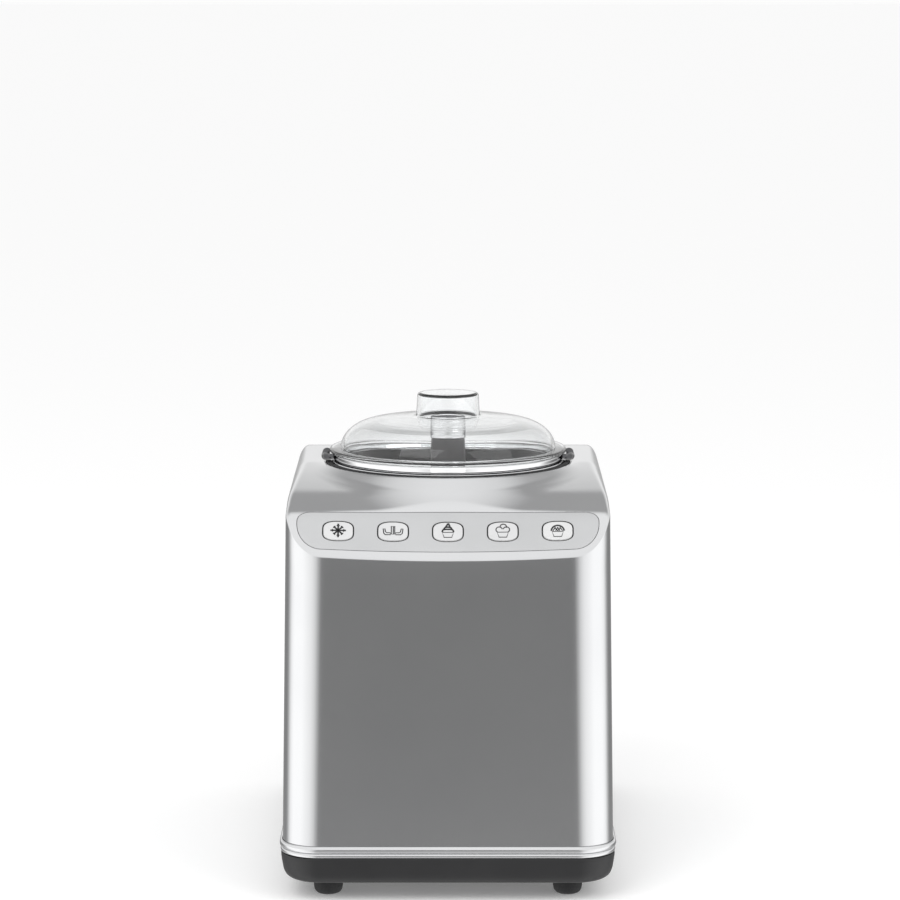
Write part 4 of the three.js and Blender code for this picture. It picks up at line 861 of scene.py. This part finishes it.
def symbol_strokes(name):
    """The strokes of one key's symbol, as (line, width, closed)."""
    fine, bold = 0.46, 0.78
    cup = ([(-3.1, -0.7), (-2.1, -3.9), (2.1, -3.9), (3.1, -0.7)], 0.42, True)
    if name == "chill":
        out = []
        for k in range(4):
            a = radians(45 * k)
            d = Vector((cos(a), sin(a)))
            reach = 4.3 if k % 2 == 0 else 3.5
            out.append(([d * -reach, d * reach], bold, False))
        for k in range(8):
            a = radians(45 * k)
            d, side = Vector((cos(a), sin(a))), Vector((-sin(a), cos(a)))
            out.append(([d * 3.3 + side * 0.8, d * 2.5, d * 3.3 - side * 0.8], fine, False))
        return out
    if name == "churn":
        hub = [(-1.2, -2.6), (1.2, -2.6), (1.2, 3.9), (-1.2, 3.9)]
        arm = [(1.9, -3.0), (5.4, -3.0), (6.5, -1.8), (6.9, 1.8), (5.7, 1.8), (5.2, -0.7)]
        arm += [(4.4, -1.4), (1.9, -1.4)]
        shine = ([(0.2, -2.4), (0.2, 3.6)], fine, False)
        other = [(-x, y) for x, y in arm]
        return [(hub, fine, True), shine, (arm, fine, True), (other, fine, True)]
    if name == "gelato":
        swirl = [
            flowing([(-3.2, -0.6), (-2.6, 0.9), (0, 1.2), (2.6, 0.9), (3.2, -0.6)], 4),
            flowing([(-2.4, 1.0), (-1.6, 2.3), (0.2, 2.6), (1.7, 2.2), (2.2, 1.0)], 4),
            flowing([(-1.4, 2.4), (-0.8, 3.4), (0.2, 4.8), (0.9, 3.4), (1.3, 2.4)], 4),
        ]
        return [cup] + [(line, bold, False) for line in swirl]
    if name == "ice_cream":
        balls = [(-2.0, 0.9, 10, 240), (2.0, 0.9, -60, 170), (0.3, 2.7, -20, 200)]
        return [cup] + [(arc(x, y, 1.75, low, high, 14), fine, False) for x, y, low, high in balls]
    dome = arc(0, -0.3, 3.5, 0, 180, 18)
    slants = [[(-2.0 + k, -0.2), (-0.6 + k, 2.5 - 0.5 * abs(k))] for k in (-0.6, 0.8, 2.0)]
    crossed = [[(2.0 - k, -0.2), (0.6 - k, 2.5 - 0.5 * abs(k))] for k in (-0.6, 0.8, 2.0)]
    return [cup, (dome, bold, False)] + [(s, fine, False) for s in slants + crossed]


def print_symbol(i, name):
    size = 0.96 if name == "churn" else 1.22
    strokes = [
        ([Vector(p[:2]) * size for p in line], width * STROKE_SCALE, closed)
        for line, width, closed in symbol_strokes(name)
    ]
    piece = stroke_mesh(strokes, on_fascia(0, button_x(i)), f"symbol_{name}")
    finish(piece, f"key_{name}", "key_plastic")


# ---- foot of the body
def trim_band():
    """Two beads round the foot of the shell, the upper one prouder."""
    proud, low, top = TRIM_HIGH.x - HALF_W, BASE_TOP + GAP, TRIM_HIGH.z
    valley = BASE_TOP + 0.42 * (top - BASE_TOP)
    upper = arc(GAP, (valley + top) / 2, proud - GAP, 90, -90, 14, (top - valley) / 2)
    lower = arc(GAP, (valley + low) / 2, 0.55 * proud, 90, -90, 10, (valley - low) / 2)
    section = upper + lower[1:]
    path = plan(HALF_W, HALF_D, CORNER_R, end=12, side=12, corner=24)
    piece = sweep("trim", section, path, "satin_steel", sharp=50)
    finish(piece, "housing", "bright_steel", "trim_band")


def base_tray():
    """Tub with walls that turn under, hollow above."""
    tall, floor_thick = 18, 2.6
    outer = [(9.6, 0), (6.6, 0.35), (4.6, 1.5), (3.1, 3.2), (1.9, 5.7), (0.95, 10.4), (0.1, 17.2)]
    line = flowing(outer + [(0.35, tall)], 3)
    scale = (BASE_TOP - BASE_BOTTOM) / tall
    loops = [tray_loop(inward, BASE_BOTTOM + up * scale) for inward, up in line]
    for inward, up in reversed(line[:-1]):
        z = min(BASE_TOP, BASE_BOTTOM + floor_thick + up * scale)
        loops.append(tray_loop(inward + floor_thick, z))
    piece = skin("base", loops, "base_plastic", sharp=40)
    finish(piece, "housing", "dark_plastic", "base_tray")


def tray_loop(inward, z):
    half = corners("base_tray")[1]
    path = plan(half.x - inward, half.y - inward, CORNER_R - inward / 2, end=12, side=12, corner=20)
    return [(x, y, z) for x, y, _, _ in path]


def feet():
    for end in ("front", "rear"):
        for side in ("left", "right"):
            node = f"foot_{end}_{side}"
            at, top = middle(node), corners(node)[1].z
            line = [(0, 0.6), (5.0, 0.4, 0.4), (6.4, 0, 0.6), (8.3, 0.8, 2), (9.5, 2.6, 2)]
            line += [(FOOT_R, 5.2, 2), (FOOT_R, top, 0.4), (0, top)]
            profile = rounded(line, closed=False)
            piece = lathe(f"{node}_tread", profile, "rubber", at.x, at.y, 64)
            finish(piece, "housing", "rubber", node)


# ---- the back
def rear_cover():
    """Flat moulding with two columns of hooded slots and a ring round the cord's gland."""
    low, high = corners("rear_cover")
    look = "black_plastic"
    y = middle("rear_cover").y
    upright = Matrix.Translation((0, y, middle("rear_cover").z)) @ turned(90, "X")
    line = rounded_rect(high.x, (high.z - low.z) / 2, 9, 8)
    plate = slab("back", line, -1.1, 1.1, look, upright)
    cuts, hoods = [], []
    for row in range(9):
        z = (COVER_LOW + COVER_HIGH) / 2 + 4 + row * 7.5
        for side in (-1, 1):
            at = Matrix.Translation((side * 38, y, z)) @ turned(90, "X")
            cuts.append(slab("cut", rounded_rect(32, 1.7, 1.69, 5), -6, 6, look, at))
            hoods.append((side * 38, y + 1.0, z + 1.9))
    gland = middle("cord_gland")
    turn = Matrix.Translation((gland.x, y, gland.z)) @ turned(90, "X")
    cuts.append(slab("cut", arc(0, 0, 6.2, 0, 354, 59), -6, 6, look, turn))
    combined(plate, cuts, "DIFFERENCE", 30)
    bevelled(plate, 0.35, 2, 50, 20)
    finish(plate, "housing", "black_plastic", "rear_cover")
    hood_fins(hoods, look)


def hood_fins(places, material):
    """A drooping lip over each slot, which keeps splashes out."""
    section = [(0, 1.1), (0.5, 0.9), (1.0, 0.35), (1.3, -0.5), (1.0, -0.6)]
    section += [(0.6, 0.1), (0.2, 0.5), (0, 0.6)]
    points, faces = [], []
    for x, y, z in places:
        base = len(points)
        reach = [-31, -30.4, 30.4, 31]
        n = len(section)
        for step, dx in enumerate(reach):
            size = 0.55 if step in (0, 3) else 1
            points += [(x + dx, y + out * size, z + up * size) for out, up in section]
        rings = [list(range(base + k * n, base + k * n + n)) for k in range(len(reach))]
        faces += ring_faces(list(zip(rings, rings[1:]))) + [rings[0][::-1], rings[-1]]
    piece = make_mesh("rear_hoods", points, faces, material, 35)
    finish(piece, "housing", "black_plastic")


def face_back(piece, node):
    """Lays a turned piece on its side, pointing back, with its foot where the node's front is."""
    at = middle(node)
    at.y = corners(node)[0].y
    piece.data.transform(Matrix.Translation(at * MM) @ turned(-90, "X"))


def cross_screws():
    for side in ("left", "right"):
        line = [(0, 0), (2.8, 0, 0.2), (2.8, 0.5, 0.5), (1.6, 1.6, 0.9), (0, 1.75)]
        head = lathe(f"screw_{side}", rounded(line, closed=False), "bright_steel", 0, 0, 48)
        for turn in (0, 90):
            spin = turned(turn, "Z")
            cutter = block("cut", (3.4, 0.7, 2.4), (0, 0, 1.9), "bright_steel", spin)
            combined(head, [cutter], "DIFFERENCE", 35)
        face_back(head, f"cover_screw_{side}")
        finish(head, "housing", "bright_steel", f"cover_screw_{side}")


def cord_gland():
    low, high = corners("cord_gland")
    long = high.y - low.y
    line = [(3.6, 0), (5.7, 0, 0.3), (5.7, long - 2.9), (8.2, long - 2.9, 0.4)]
    line += [(8.2, long - 0.9, 0.8), (5.6, long, 0.4), (3.6, long, 0.6)]
    piece = lathe("gland", rounded(line), "rubber", 0, 0, 64)
    face_back(piece, "cord_gland")
    finish(piece, "housing", "rubber", "cord_gland")


# ---- well and drive post
def gasket():
    inner = WELL_RIM_R + GAP
    top = corners("well_gasket")[1].z
    line = [(inner, DECK_Z - 4), (GASKET_R, DECK_Z - 4)]
    line += arc((GASKET_R + inner) / 2, top - 1.4, (GASKET_R - inner) / 2, 0, 180, 12, 1.4)
    piece = lathe("gasket", line, "rubber", sides=192, sharp=50)
    finish(piece, "housing", "rubber", "well_gasket")


def cooling_well():
    """Drawn steel well with a bright rim, painted shade on its inner side and pressed rings in its
    floor.
    """
    mouth, floor, wall = WELL_R + 2.4, WELL_FLOOR, 1.2
    hub = TOWER_R + 5
    under = [(hub, floor - wall), (WELL_R - 5, floor - wall, 4), (WELL_R + wall, floor + 6, 3)]
    under += [(WELL_R + wall, WELL_RIM_Z - 5, 0.5), (WELL_RIM_R, WELL_RIM_Z - 5, 0.3)]
    rim = [(WELL_RIM_R, WELL_RIM_Z, 0.9), (mouth - 2.2, WELL_RIM_Z, 2.2), (WELL_R, WELL_RIM_Z - 4)]
    line = rounded(under + rim, closed=False)
    line += arc(WELL_R - WELL_CORNER, floor + WELL_CORNER, WELL_CORNER, 0, -90, 10)
    for r in (60, 50, 40, 30, 21):
        line += [(r + 1.8, floor), (r + 1.1, floor + 0.45), (r, floor + 0.7)]
        line += [(r - 1.1, floor + 0.45), (r - 1.8, floor)]
    line.append((hub, floor))
    piece = lathe("well", line, "well_steel", sides=192, sharp=50)
    finish(piece, "housing", "bright_steel", "cooling_well")


def drive_post():
    bore, under = TOWER_R - 2, WELL_FLOOR - 1.5
    flange, neck, seam = TOWER_R + 9, TOWER_R + 4.5, TOWER_TOP - 7
    line = [(bore, under - 2.5), (flange, under - 2.5, 0.4), (flange, under), (neck, under)]
    line += [(neck, WELL_FLOOR + 0.8, 0.5), (TOWER_R, WELL_FLOOR + 2.2, 1.5)]
    line += [(TOWER_R, seam - 0.4), (TOWER_R - 0.35, seam - 0.15), (TOWER_R - 0.35, seam + 0.15)]
    line += [(TOWER_R, seam + 0.4), (TOWER_R, TOWER_TOP, 1.1), (bore, TOWER_TOP, 0.4)]
    piece = lathe("post", rounded(line), "black_plastic", sides=96, sharp=40)
    finish(piece, "housing", "black_plastic", "drive_post")


def drive_dog():
    """Toothed collar on the shaft above the post."""
    low = corners("drive_dog")[0].z
    bore = SHAFT_R + GAP
    line = [(bore, low), (DOG_R, low, 0.3), (DOG_R, DOG_TOP, 0.5), (bore, DOG_TOP, 0.3)]
    look = "dark_plastic"
    piece = lathe("dog", rounded(line), look, sides=96)
    slots = [
        block("cut", (4 * DOG_R, 2.6, 5), (0, AXIS_Y, DOG_TOP), look, turned(a, "Z"))
        for a in (0, 60, 120)
    ]
    combined(piece, slots, "DIFFERENCE")
    finish(piece, "drive", "black_plastic", "drive_dog")


def drive_shaft():
    foot = corners("drive_shaft")[0].z
    flats_foot = CHIMNEY_TOP + 3
    line = [(0, foot), (SHAFT_R, foot, 0.6), (SHAFT_R, SHAFT_TOP - 1.6, 0.8)]
    line += [(SHAFT_R - 1.6, SHAFT_TOP, 0.8), (0, SHAFT_TOP)]
    look = "bright_steel"
    piece = lathe("shaft", rounded(line, closed=False), look, sides=72)
    tall, thick = SHAFT_TOP - flats_foot + 2, 4
    off = SHAFT_R - 0.9 + thick / 2
    flats = [
        block("cut", (20, thick, tall), (0, AXIS_Y + side * off, flats_foot + tall / 2), look)
        for side in (-1, 1)
    ]
    combined(piece, flats, "DIFFERENCE")
    finish(piece, "drive", "bright_steel", "drive_shaft")


# ---- bowl
def bowl():
    """Spun steel bowl: rounded foot, thin wall, stepped rim with a rolled outer edge."""
    hole = CHIMNEY_R - 0.1 + GAP
    wall, corner = BOWL_WALL, BOWL_CORNER
    flat = BOWL_R - corner
    line = [(hole, BOWL_FOOT + 0.9), (30, BOWL_FOOT + 0.9, 2), (34, BOWL_FOOT, 2)]
    line = rounded(line, closed=False) + arc(flat, BOWL_FOOT + corner, corner, -90, 0, 12)
    rim = [(BOWL_R, RIM_FOOT, 1.2), (RIM_R, RIM_FOOT, 1.6), (RIM_R, RIM_TOP, 1.4)]
    rim += [(LEDGE_R, RIM_TOP, 1.0), (LEDGE_R, LEDGE_Z, 0.7), (BOWL_R - wall, LEDGE_Z, 1.0)]
    rim.append((BOWL_R - wall, BOWL_FOOT + corner))
    line += rounded(rim, closed=False)
    line += arc(flat, BOWL_FOOT + corner, corner - wall, 0, -90, 12)[1:]
    bed = BOWL_FOOT + wall
    inside = [(36, bed), (32, bed + 0.9, 2), (hole, bed + 0.9)]
    line += rounded(inside, closed=False)
    piece = lathe("bowl_shell", line, "bowl_steel", sides=192, sharp=45)
    finish(piece, "bowl", "bright_steel", "bowl")


def chimney():
    r, bore = CHIMNEY_R, CHIMNEY_R - 0.8
    floor = BOWL_FOOT + BOWL_WALL + GAP + 0.9
    neck = TOWER_TOP + 0.8
    line = [(bore, BOWL_FOOT + 1.0), (r - 0.1, BOWL_FOOT + 1.0), (r - 0.1, floor)]
    line += [(r + 2.4, floor, 0.3), (r + 2.2, floor + 0.8, 0.4), (r, floor + 1.8, 1.4)]
    mouth = DOG_R + 0.5
    line += [(r, CHIMNEY_TOP, 2.2), (mouth, CHIMNEY_TOP, 0.5), (mouth, neck + 1), (bore, neck)]
    piece = lathe("chimney", rounded(line), "dark_plastic", sides=96, sharp=40)
    finish(piece, "bowl", "dark_plastic", "bowl_chimney")


def lugs():
    """Rolled finger lug on each side of the rim, its ends tucked in."""
    for side, name in ((-1, "left"), (1, "right")):
        low, high = corners(f"bowl_lug_{name}")
        reach = max(abs(low.x), abs(high.x))
        curl, sheet = (high.z - low.z) / 2, 1.0
        centre, z = reach - curl, (low.z + high.z) / 2
        root = min(abs(low.x), abs(high.x))
        outer = arc(centre, z, curl, -100, 165, 28)
        inner = arc(centre, z, curl - sheet, 165, -100, 28)
        section = [(root, low.z)] + outer + inner + [(root, low.z + sheet)]
        loops = []
        half = high.y - AXIS_Y
        for step in range(25):
            t = -1 + 2 * step / 24
            y = AXIS_Y + half * t
            pinch = 1 - 0.10 * max(0, abs(t) - 0.8) / 0.2
            loops.append([
                (side * (root + (x - root) * pinch), y, z + (zz - z) * pinch) for x, zz in section
            ])
        piece = skin(f"lug_{name}", loops, "bright_steel", sharp=50)
        finish(piece, "bowl", "bright_steel", f"bowl_lug_{name}")


# ---- paddle, bush, cap
# Upper and lower edge of an arm as (reach, height), met rib by rib from hub to tip.
ARM_INSIDE = [
    (8, 23.4), (12.6, 22.6), (17.0, 19.6), (27, 15.4), (40, 11.0), (48, 9.4), (54.0, 9.6),
    (57.4, 12.0), (58.3, 17), (57.2, 26), (56.0, 35), (55.9, 44), (57.2, 53.0), (60.0, 59.2),
    (64.2, 62.5), (66.6, 63.3),
]
ARM_OUTSIDE = [
    (8, 10.2), (14.2, 9.9), (17.0, 7.4), (20.0, 1.4), (30, 0), (46, 0), (62.0, 0),
    (69.2, 1.5), (71.7, 9.4), (70.8, 20), (70.1, 32), (69.6, 44), (69.2, 53), (69.0, 59.4),
    (68.7, 62.0), (68.0, 63.1),
]
BLADE_THICK = 3.2
BLADE_TILT = radians(16)


def paddle_arm(side):
    """Lower ploughing blade and upright scraper, a plate with rounded edges built rib by rib."""
    scale = PADDLE_R / max(x for x, _ in ARM_OUTSIDE)
    loops = []
    for a, b in zip(flowing(ARM_INSIDE, 6), flowing(ARM_OUTSIDE, 6)):
        wide = dist(a, b)
        edge = min(1.5, wide / 2)
        across = [edge * (1 - cos(radians(22.5 * k))) for k in range(5)]
        across += [edge + (wide - 2 * edge) * k / 5 for k in range(1, 5)]
        across += [wide - d for d in across[4::-1]]
        ring = []
        for half, steps in ((1, across), (-1, across[-2:0:-1])):
            for d in steps:
                t = d / wide
                x, z = a[0] + (b[0] - a[0]) * t, a[1] + (b[1] - a[1]) * t
                depth = max(0.0, 1 - min(d, wide - d) / edge)
                thick = half * BLADE_THICK / 2 * min(1, edge / 1.5) * sqrt(1 - depth * depth)
                y = thick + tan(BLADE_TILT) * smooth_min(z - 11, 2.6, 6)
                reach = x * (scale if x > 14 else 1)
                ring.append((side * reach, AXIS_Y + side * y, PADDLE_FOOT + z))
        loops.append(ring)
    return skin(f"arm_{side}", loops, "dark_plastic", sharp=40)


def paddle():
    """One moulding: tapered hollow hub and two arms."""
    foot, step, top = PADDLE_FOOT + 9.9, PADDLE_FOOT + 89.2, PADDLE_TOP
    bush_r = corners("paddle_bush")[1].y - AXIS_Y + GAP
    bush_top = corners("paddle_bush")[1].z + 1.6
    look = "dark_plastic"
    line = [(0, foot), (14.55, foot, 0.9), (11.7, step, 0.8), (9.4, step + 0.3, 0.4)]
    line += [(9.4, top - 2.2, 0.8), (5.6, top, 0.8), (0, top)]
    hub = lathe("paddle_body", rounded(line, closed=False), look, sides=128, sharp=40)
    combined(hub, [paddle_arm(1), paddle_arm(-1)], "UNION", 34)
    bore = [(0, foot - 4), (bush_r, foot - 4), (bush_r, bush_top), (CHIMNEY_R + 0.45, bush_top + 2)]
    bore += [(CHIMNEY_R + 0.45, CHIMNEY_TOP + 1.2), (SHAFT_R + 0.4, CHIMNEY_TOP + 3.2)]
    bore += [(SHAFT_R + 0.4, SHAFT_TOP + 0.6), (0, SHAFT_TOP + 0.6)]
    combined(hub, [lathe("cut", bore, look, sides=96)], "DIFFERENCE", 34)
    finish(hub, "paddle", "dark_plastic", "paddle")


def bush():
    low, high = corners("paddle_bush")
    outer, inner = high.y - AXIS_Y, CHIMNEY_R + GAP
    line = [(inner, low.z, 0.3), (outer, low.z, 0.4), (outer, high.z, 0.4), (inner, high.z, 0.3)]
    piece = lathe("bush_sleeve", rounded(line), "nylon", sides=96)
    finish(piece, "bush", "nylon", "paddle_bush")


def cap():
    """Bright cup that drops over the top of the paddle."""
    low, high = corners("paddle_cap")
    r, inner = high.y - AXIS_Y, high.y - AXIS_Y - 2.5
    roof = PADDLE_TOP + 0.6
    line = [(0, roof), (inner, roof, 0.8), (inner, low.z, 0.3), (r, low.z, 0.7), (r, high.z, 1.0)]
    line += [(r - 1.9, high.z, 0.4), (r - 2.5, high.z - 0.7, 0.5), (0, high.z - 0.7)]
    piece = lathe("cap_cup", rounded(line, closed=False), "bright_steel", sides=112, sharp=40)
    finish(piece, "cap", "bright_steel", "paddle_cap")


# ---- lid
def lid():
    """Clear lid: skirt, flange bead, flattened dome and hollow knob, all of one wall."""
    dome = [(76.2, 1.6), (75.6, 4.6), (73.4, 9.6), (69.4, 14.2), (63.8, 17.9), (57.5, 20.2)]
    dome += [(50, 21.6), (40, 22.7), (30, 23.6), (25.4, 23.9)]
    rise = LID_TOP - FLANGE_Z
    crown = flowing(dome, 6)
    knob = rounded(
        [(25.4, 23.9), (22.5, 24.1, 1.2), (21.5, rise, 2.6), (0, rise)], closed=False, steps=8
    )
    outer = crown + knob[1:]
    inner = wall_inside(outer, LID_WALL)
    skirt = LEDGE_R - 0.8
    foot = LID_FOOT - FLANGE_Z
    start = rounded(
        [(skirt - 1.8, -0.9), (skirt - 1.8, foot, 0.5), (skirt, foot, 0.6), (skirt, -1.6, 0.5),
         (LID_R - 2, -1.6)], closed=False,
    )
    bead = arc(LID_R - 1.6, 0, 1.6, -90, 90, 12)
    line = start + bead + outer + inner
    cut = max(range(len(line)), key=lambda i: line[i][1] - line[i][0] * 1e-3)
    ordered = [(r, z + FLANGE_Z) for r, z in line[cut + 1:] + line[: cut + 1]]
    ordered[0] = (0.0, LID_TOP - LID_WALL)
    ordered[-1] = (0.0, LID_TOP)
    piece = lathe("lid_clear", ordered, "clear_plastic", sides=192, sharp=50)
    finish(piece, "lid", "clear_plastic", "lid")


def wall_inside(line, wall):
    """The inner side of a wall, from the axis back out to the line's start."""
    out = []
    for i, (r, z) in enumerate(line):
        a, b = line[max(i - 1, 0)], line[min(i + 1, len(line) - 1)]
        dr, dz = b[0] - a[0], b[1] - a[1]
        size = hypot(dr, dz) or 1
        out.append((r + dz / size * -wall, z + dr / size * wall))
    out[-1] = (0.0, line[-1][1] - wall)
    return [(max(r, 0.0), z) for r, z in out][::-1]


# ---- inner pieces keep their shape
def dress_inner_nodes():
    """Gives every CAD node the textured material of its slot in the record."""
    slots = {row["node"]: row["material_slot"] for row in frame["record"]["subparts"]}
    for name, node in frame["nodes"].items():
        node.data.materials.clear()
        node.data.materials.append(MATERIALS[slots[name]])


# ---- stage, light and camera
def flat_look(name, colour, strength=0.0):
    look = Look(name, Roughness=0.9, Specular_IOR_Level=0.0)
    look.shader.inputs["Base Color"].default_value = (*colour, 1)
    look.shader.inputs["Emission Color"].default_value = (1, 1, 1, 1)
    look.shader.inputs["Emission Strength"].default_value = strength
    return look.material


def floor():
    reach = 60  # metres, out of sight of every view
    square = [(-reach, -reach, 0), (reach, -reach, 0), (reach, reach, 0), (-reach, reach, 0)]
    mesh = bpy.data.meshes.new("floor")
    mesh.from_pydata(square, [], [(0, 1, 2, 3)])
    mesh.materials.append(flat_look("pale floor", (0.9, 0.9, 0.9), 0.15))
    obj = placed("floor", mesh)
    obj.visible_glossy = False


def soft_light(name, at, toward, size, power):
    data = bpy.data.lights.new(name, "AREA")
    data.shape = "RECTANGLE"
    data.size, data.size_y = size[0] * MM, size[1] * MM
    data.energy = power
    obj = placed(name, data)
    obj.location = Vector(at) * MM
    obj.rotation_euler = (Vector(toward) - Vector(at)).to_track_quat("-Z", "Y").to_euler()
    obj.visible_camera = False
    obj.visible_glossy = False
    return obj


class Sky(Look):
    """The studio round the machine, as a world that shines differently in each direction."""

    BRIGHTEST = 1.5

    def __init__(self, world):
        world.use_nodes = True
        self.nodes, self.links = world.node_tree.nodes, world.node_tree.links
        self.shader = self.nodes["Background"]
        self.place = self.node("ShaderNodeTexCoord").outputs["Generated"]

    def graded(self, source, low, high, stops):
        """Brightness set against a value from low to high. A ramp ends at 1, so it is scaled."""
        share = self.maths("DIVIDE", self.maths("SUBTRACT", source, low), high - low)
        places = [((at - low) / (high - low), grey / self.BRIGHTEST) for at, grey in stops]
        return self.maths("MULTIPLY", self.ramp(share, places), self.BRIGHTEST)

    def directions(self):
        """Parts of the direction, and its height over the horizon in degrees."""
        split = self.node("ShaderNodeSeparateXYZ")
        self.join(self.place, split.inputs["Vector"])
        x, y, z = (split.outputs[k] for k in "XYZ")
        return x, y, self.maths("MULTIPLY", self.maths("ARCSINE", z), 180 / pi)

    def mixed(self, share, a, b):
        return self.maths("ADD", a, self.maths("MULTIPLY", share, self.maths("SUBTRACT", b, a)))


OVERHEAD = 1.1  # brightness above the horizon, away from the back


def room(sky):
    """What metal mirrors: a dark camera side, bright side walls, a dim strip high at the back."""
    x, y, rise = sky.directions()
    turn = sky.maths("ARCTAN2", sky.maths("ABSOLUTE", x), sky.maths("MULTIPLY", y, -1))
    turn = sky.maths("DIVIDE", turn, pi)
    walls = sky.graded(turn, 0, 1, [
        (0, 0.20), (0.02, 0.20), (0.05, 0.48), (0.10, 0.88), (0.17, 1.15), (0.33, 1.4), (0.5, 1.4),
        (0.58, 1.2), (0.66, 0.5), (0.72, 0.28), (0.86, 0.28), (1, 0.6),
    ])
    ground = sky.graded(rise, -90, 90, [(-90, 0.6), (-30, 0.6), (-14, 0.35), (-8, 0)])
    behind = sky.graded(rise, 0, 90, [
        (0, 0.95), (8, 1.0), (24, 0.72), (36, 0.45), (50, 0.42), (61, 0.9), (72, 1.08), (90, 1.1),
    ])
    back = sky.graded(turn, 0, 1, [(0.6, 0), (0.85, 1)])
    above = sky.mixed(back, OVERHEAD, behind)
    high = sky.graded(rise, -90, 90, [(-1, 0), (5, 1)])
    return sky.mixed(high, sky.maths("MAXIMUM", walls, ground), above)


def ceiling(sky):
    """What bent light finds in the clear lid: pale all round, dark overhead to draw its edges."""
    rise = sky.directions()[2]
    return sky.graded(rise, -90, 90, [(8, 0.98), (24, 0.05)])


def bowl_light():
    """Broad soft light in front that only the bowl mirrors."""
    obj = soft_light("bowl_front", (0, -1100, 300), (0, 0, 300), (620, 620), 1.1)
    obj.visible_glossy = True
    obj.visible_diffuse = False
    chosen = bpy.data.collections.new("bowl light receivers")
    chosen.objects.link(bpy.data.objects["bowl_shell"])
    obj.light_linking.receiver_collection = chosen


def studio():
    world = bpy.data.worlds.new("studio")
    bpy.context.scene.world = world
    bpy.context.scene.view_settings.view_transform = "Standard"
    sky = Sky(world)
    ray = sky.node("ShaderNodeLightPath").outputs
    plain = sky.mixed(ray["Is Diffuse Ray"], 0.98, 0.88)
    plain = sky.mixed(ray["Is Transmission Ray"], plain, ceiling(sky))
    sky.join(sky.mixed(ray["Is Glossy Ray"], plain, room(sky)), sky.shader.inputs["Color"])
    soft_light("key", (-900, -1300, 1500), (0, 0, 150), (1400, 1400), 12)
    soft_light("fill", (1100, -900, 900), (0, 0, 150), (1200, 1200), 6)
    bowl_light()


CAMERA_AT = Vector((1.4, -2486.7, 628.2))
CAMERA_DOWN = 7.841  # degrees it looks down


def camera():
    """Long lens a little above the machine, from the front."""
    data = bpy.data.cameras.new("camera")
    data.lens, data.sensor_width = 140, 36
    data.clip_end = 200
    obj = placed("camera", data)
    obj.location = CAMERA_AT * MM
    obj.rotation_euler = (radians(90 - CAMERA_DOWN), 0, 0)
    bpy.context.scene.camera = obj


camera()
dress_inner_nodes()
shell_and_fascia()
for place, label in enumerate(BUTTONS):
    key(place, label)
for build in (trim_band, base_tray, feet, rear_cover, cross_screws, cord_gland):
    build()
for build in (gasket, cooling_well, drive_post, drive_dog, drive_shaft):
    build()
for build in (bowl, chimney, lugs, paddle, bush, cap, lid):
    build()
floor()
studio()
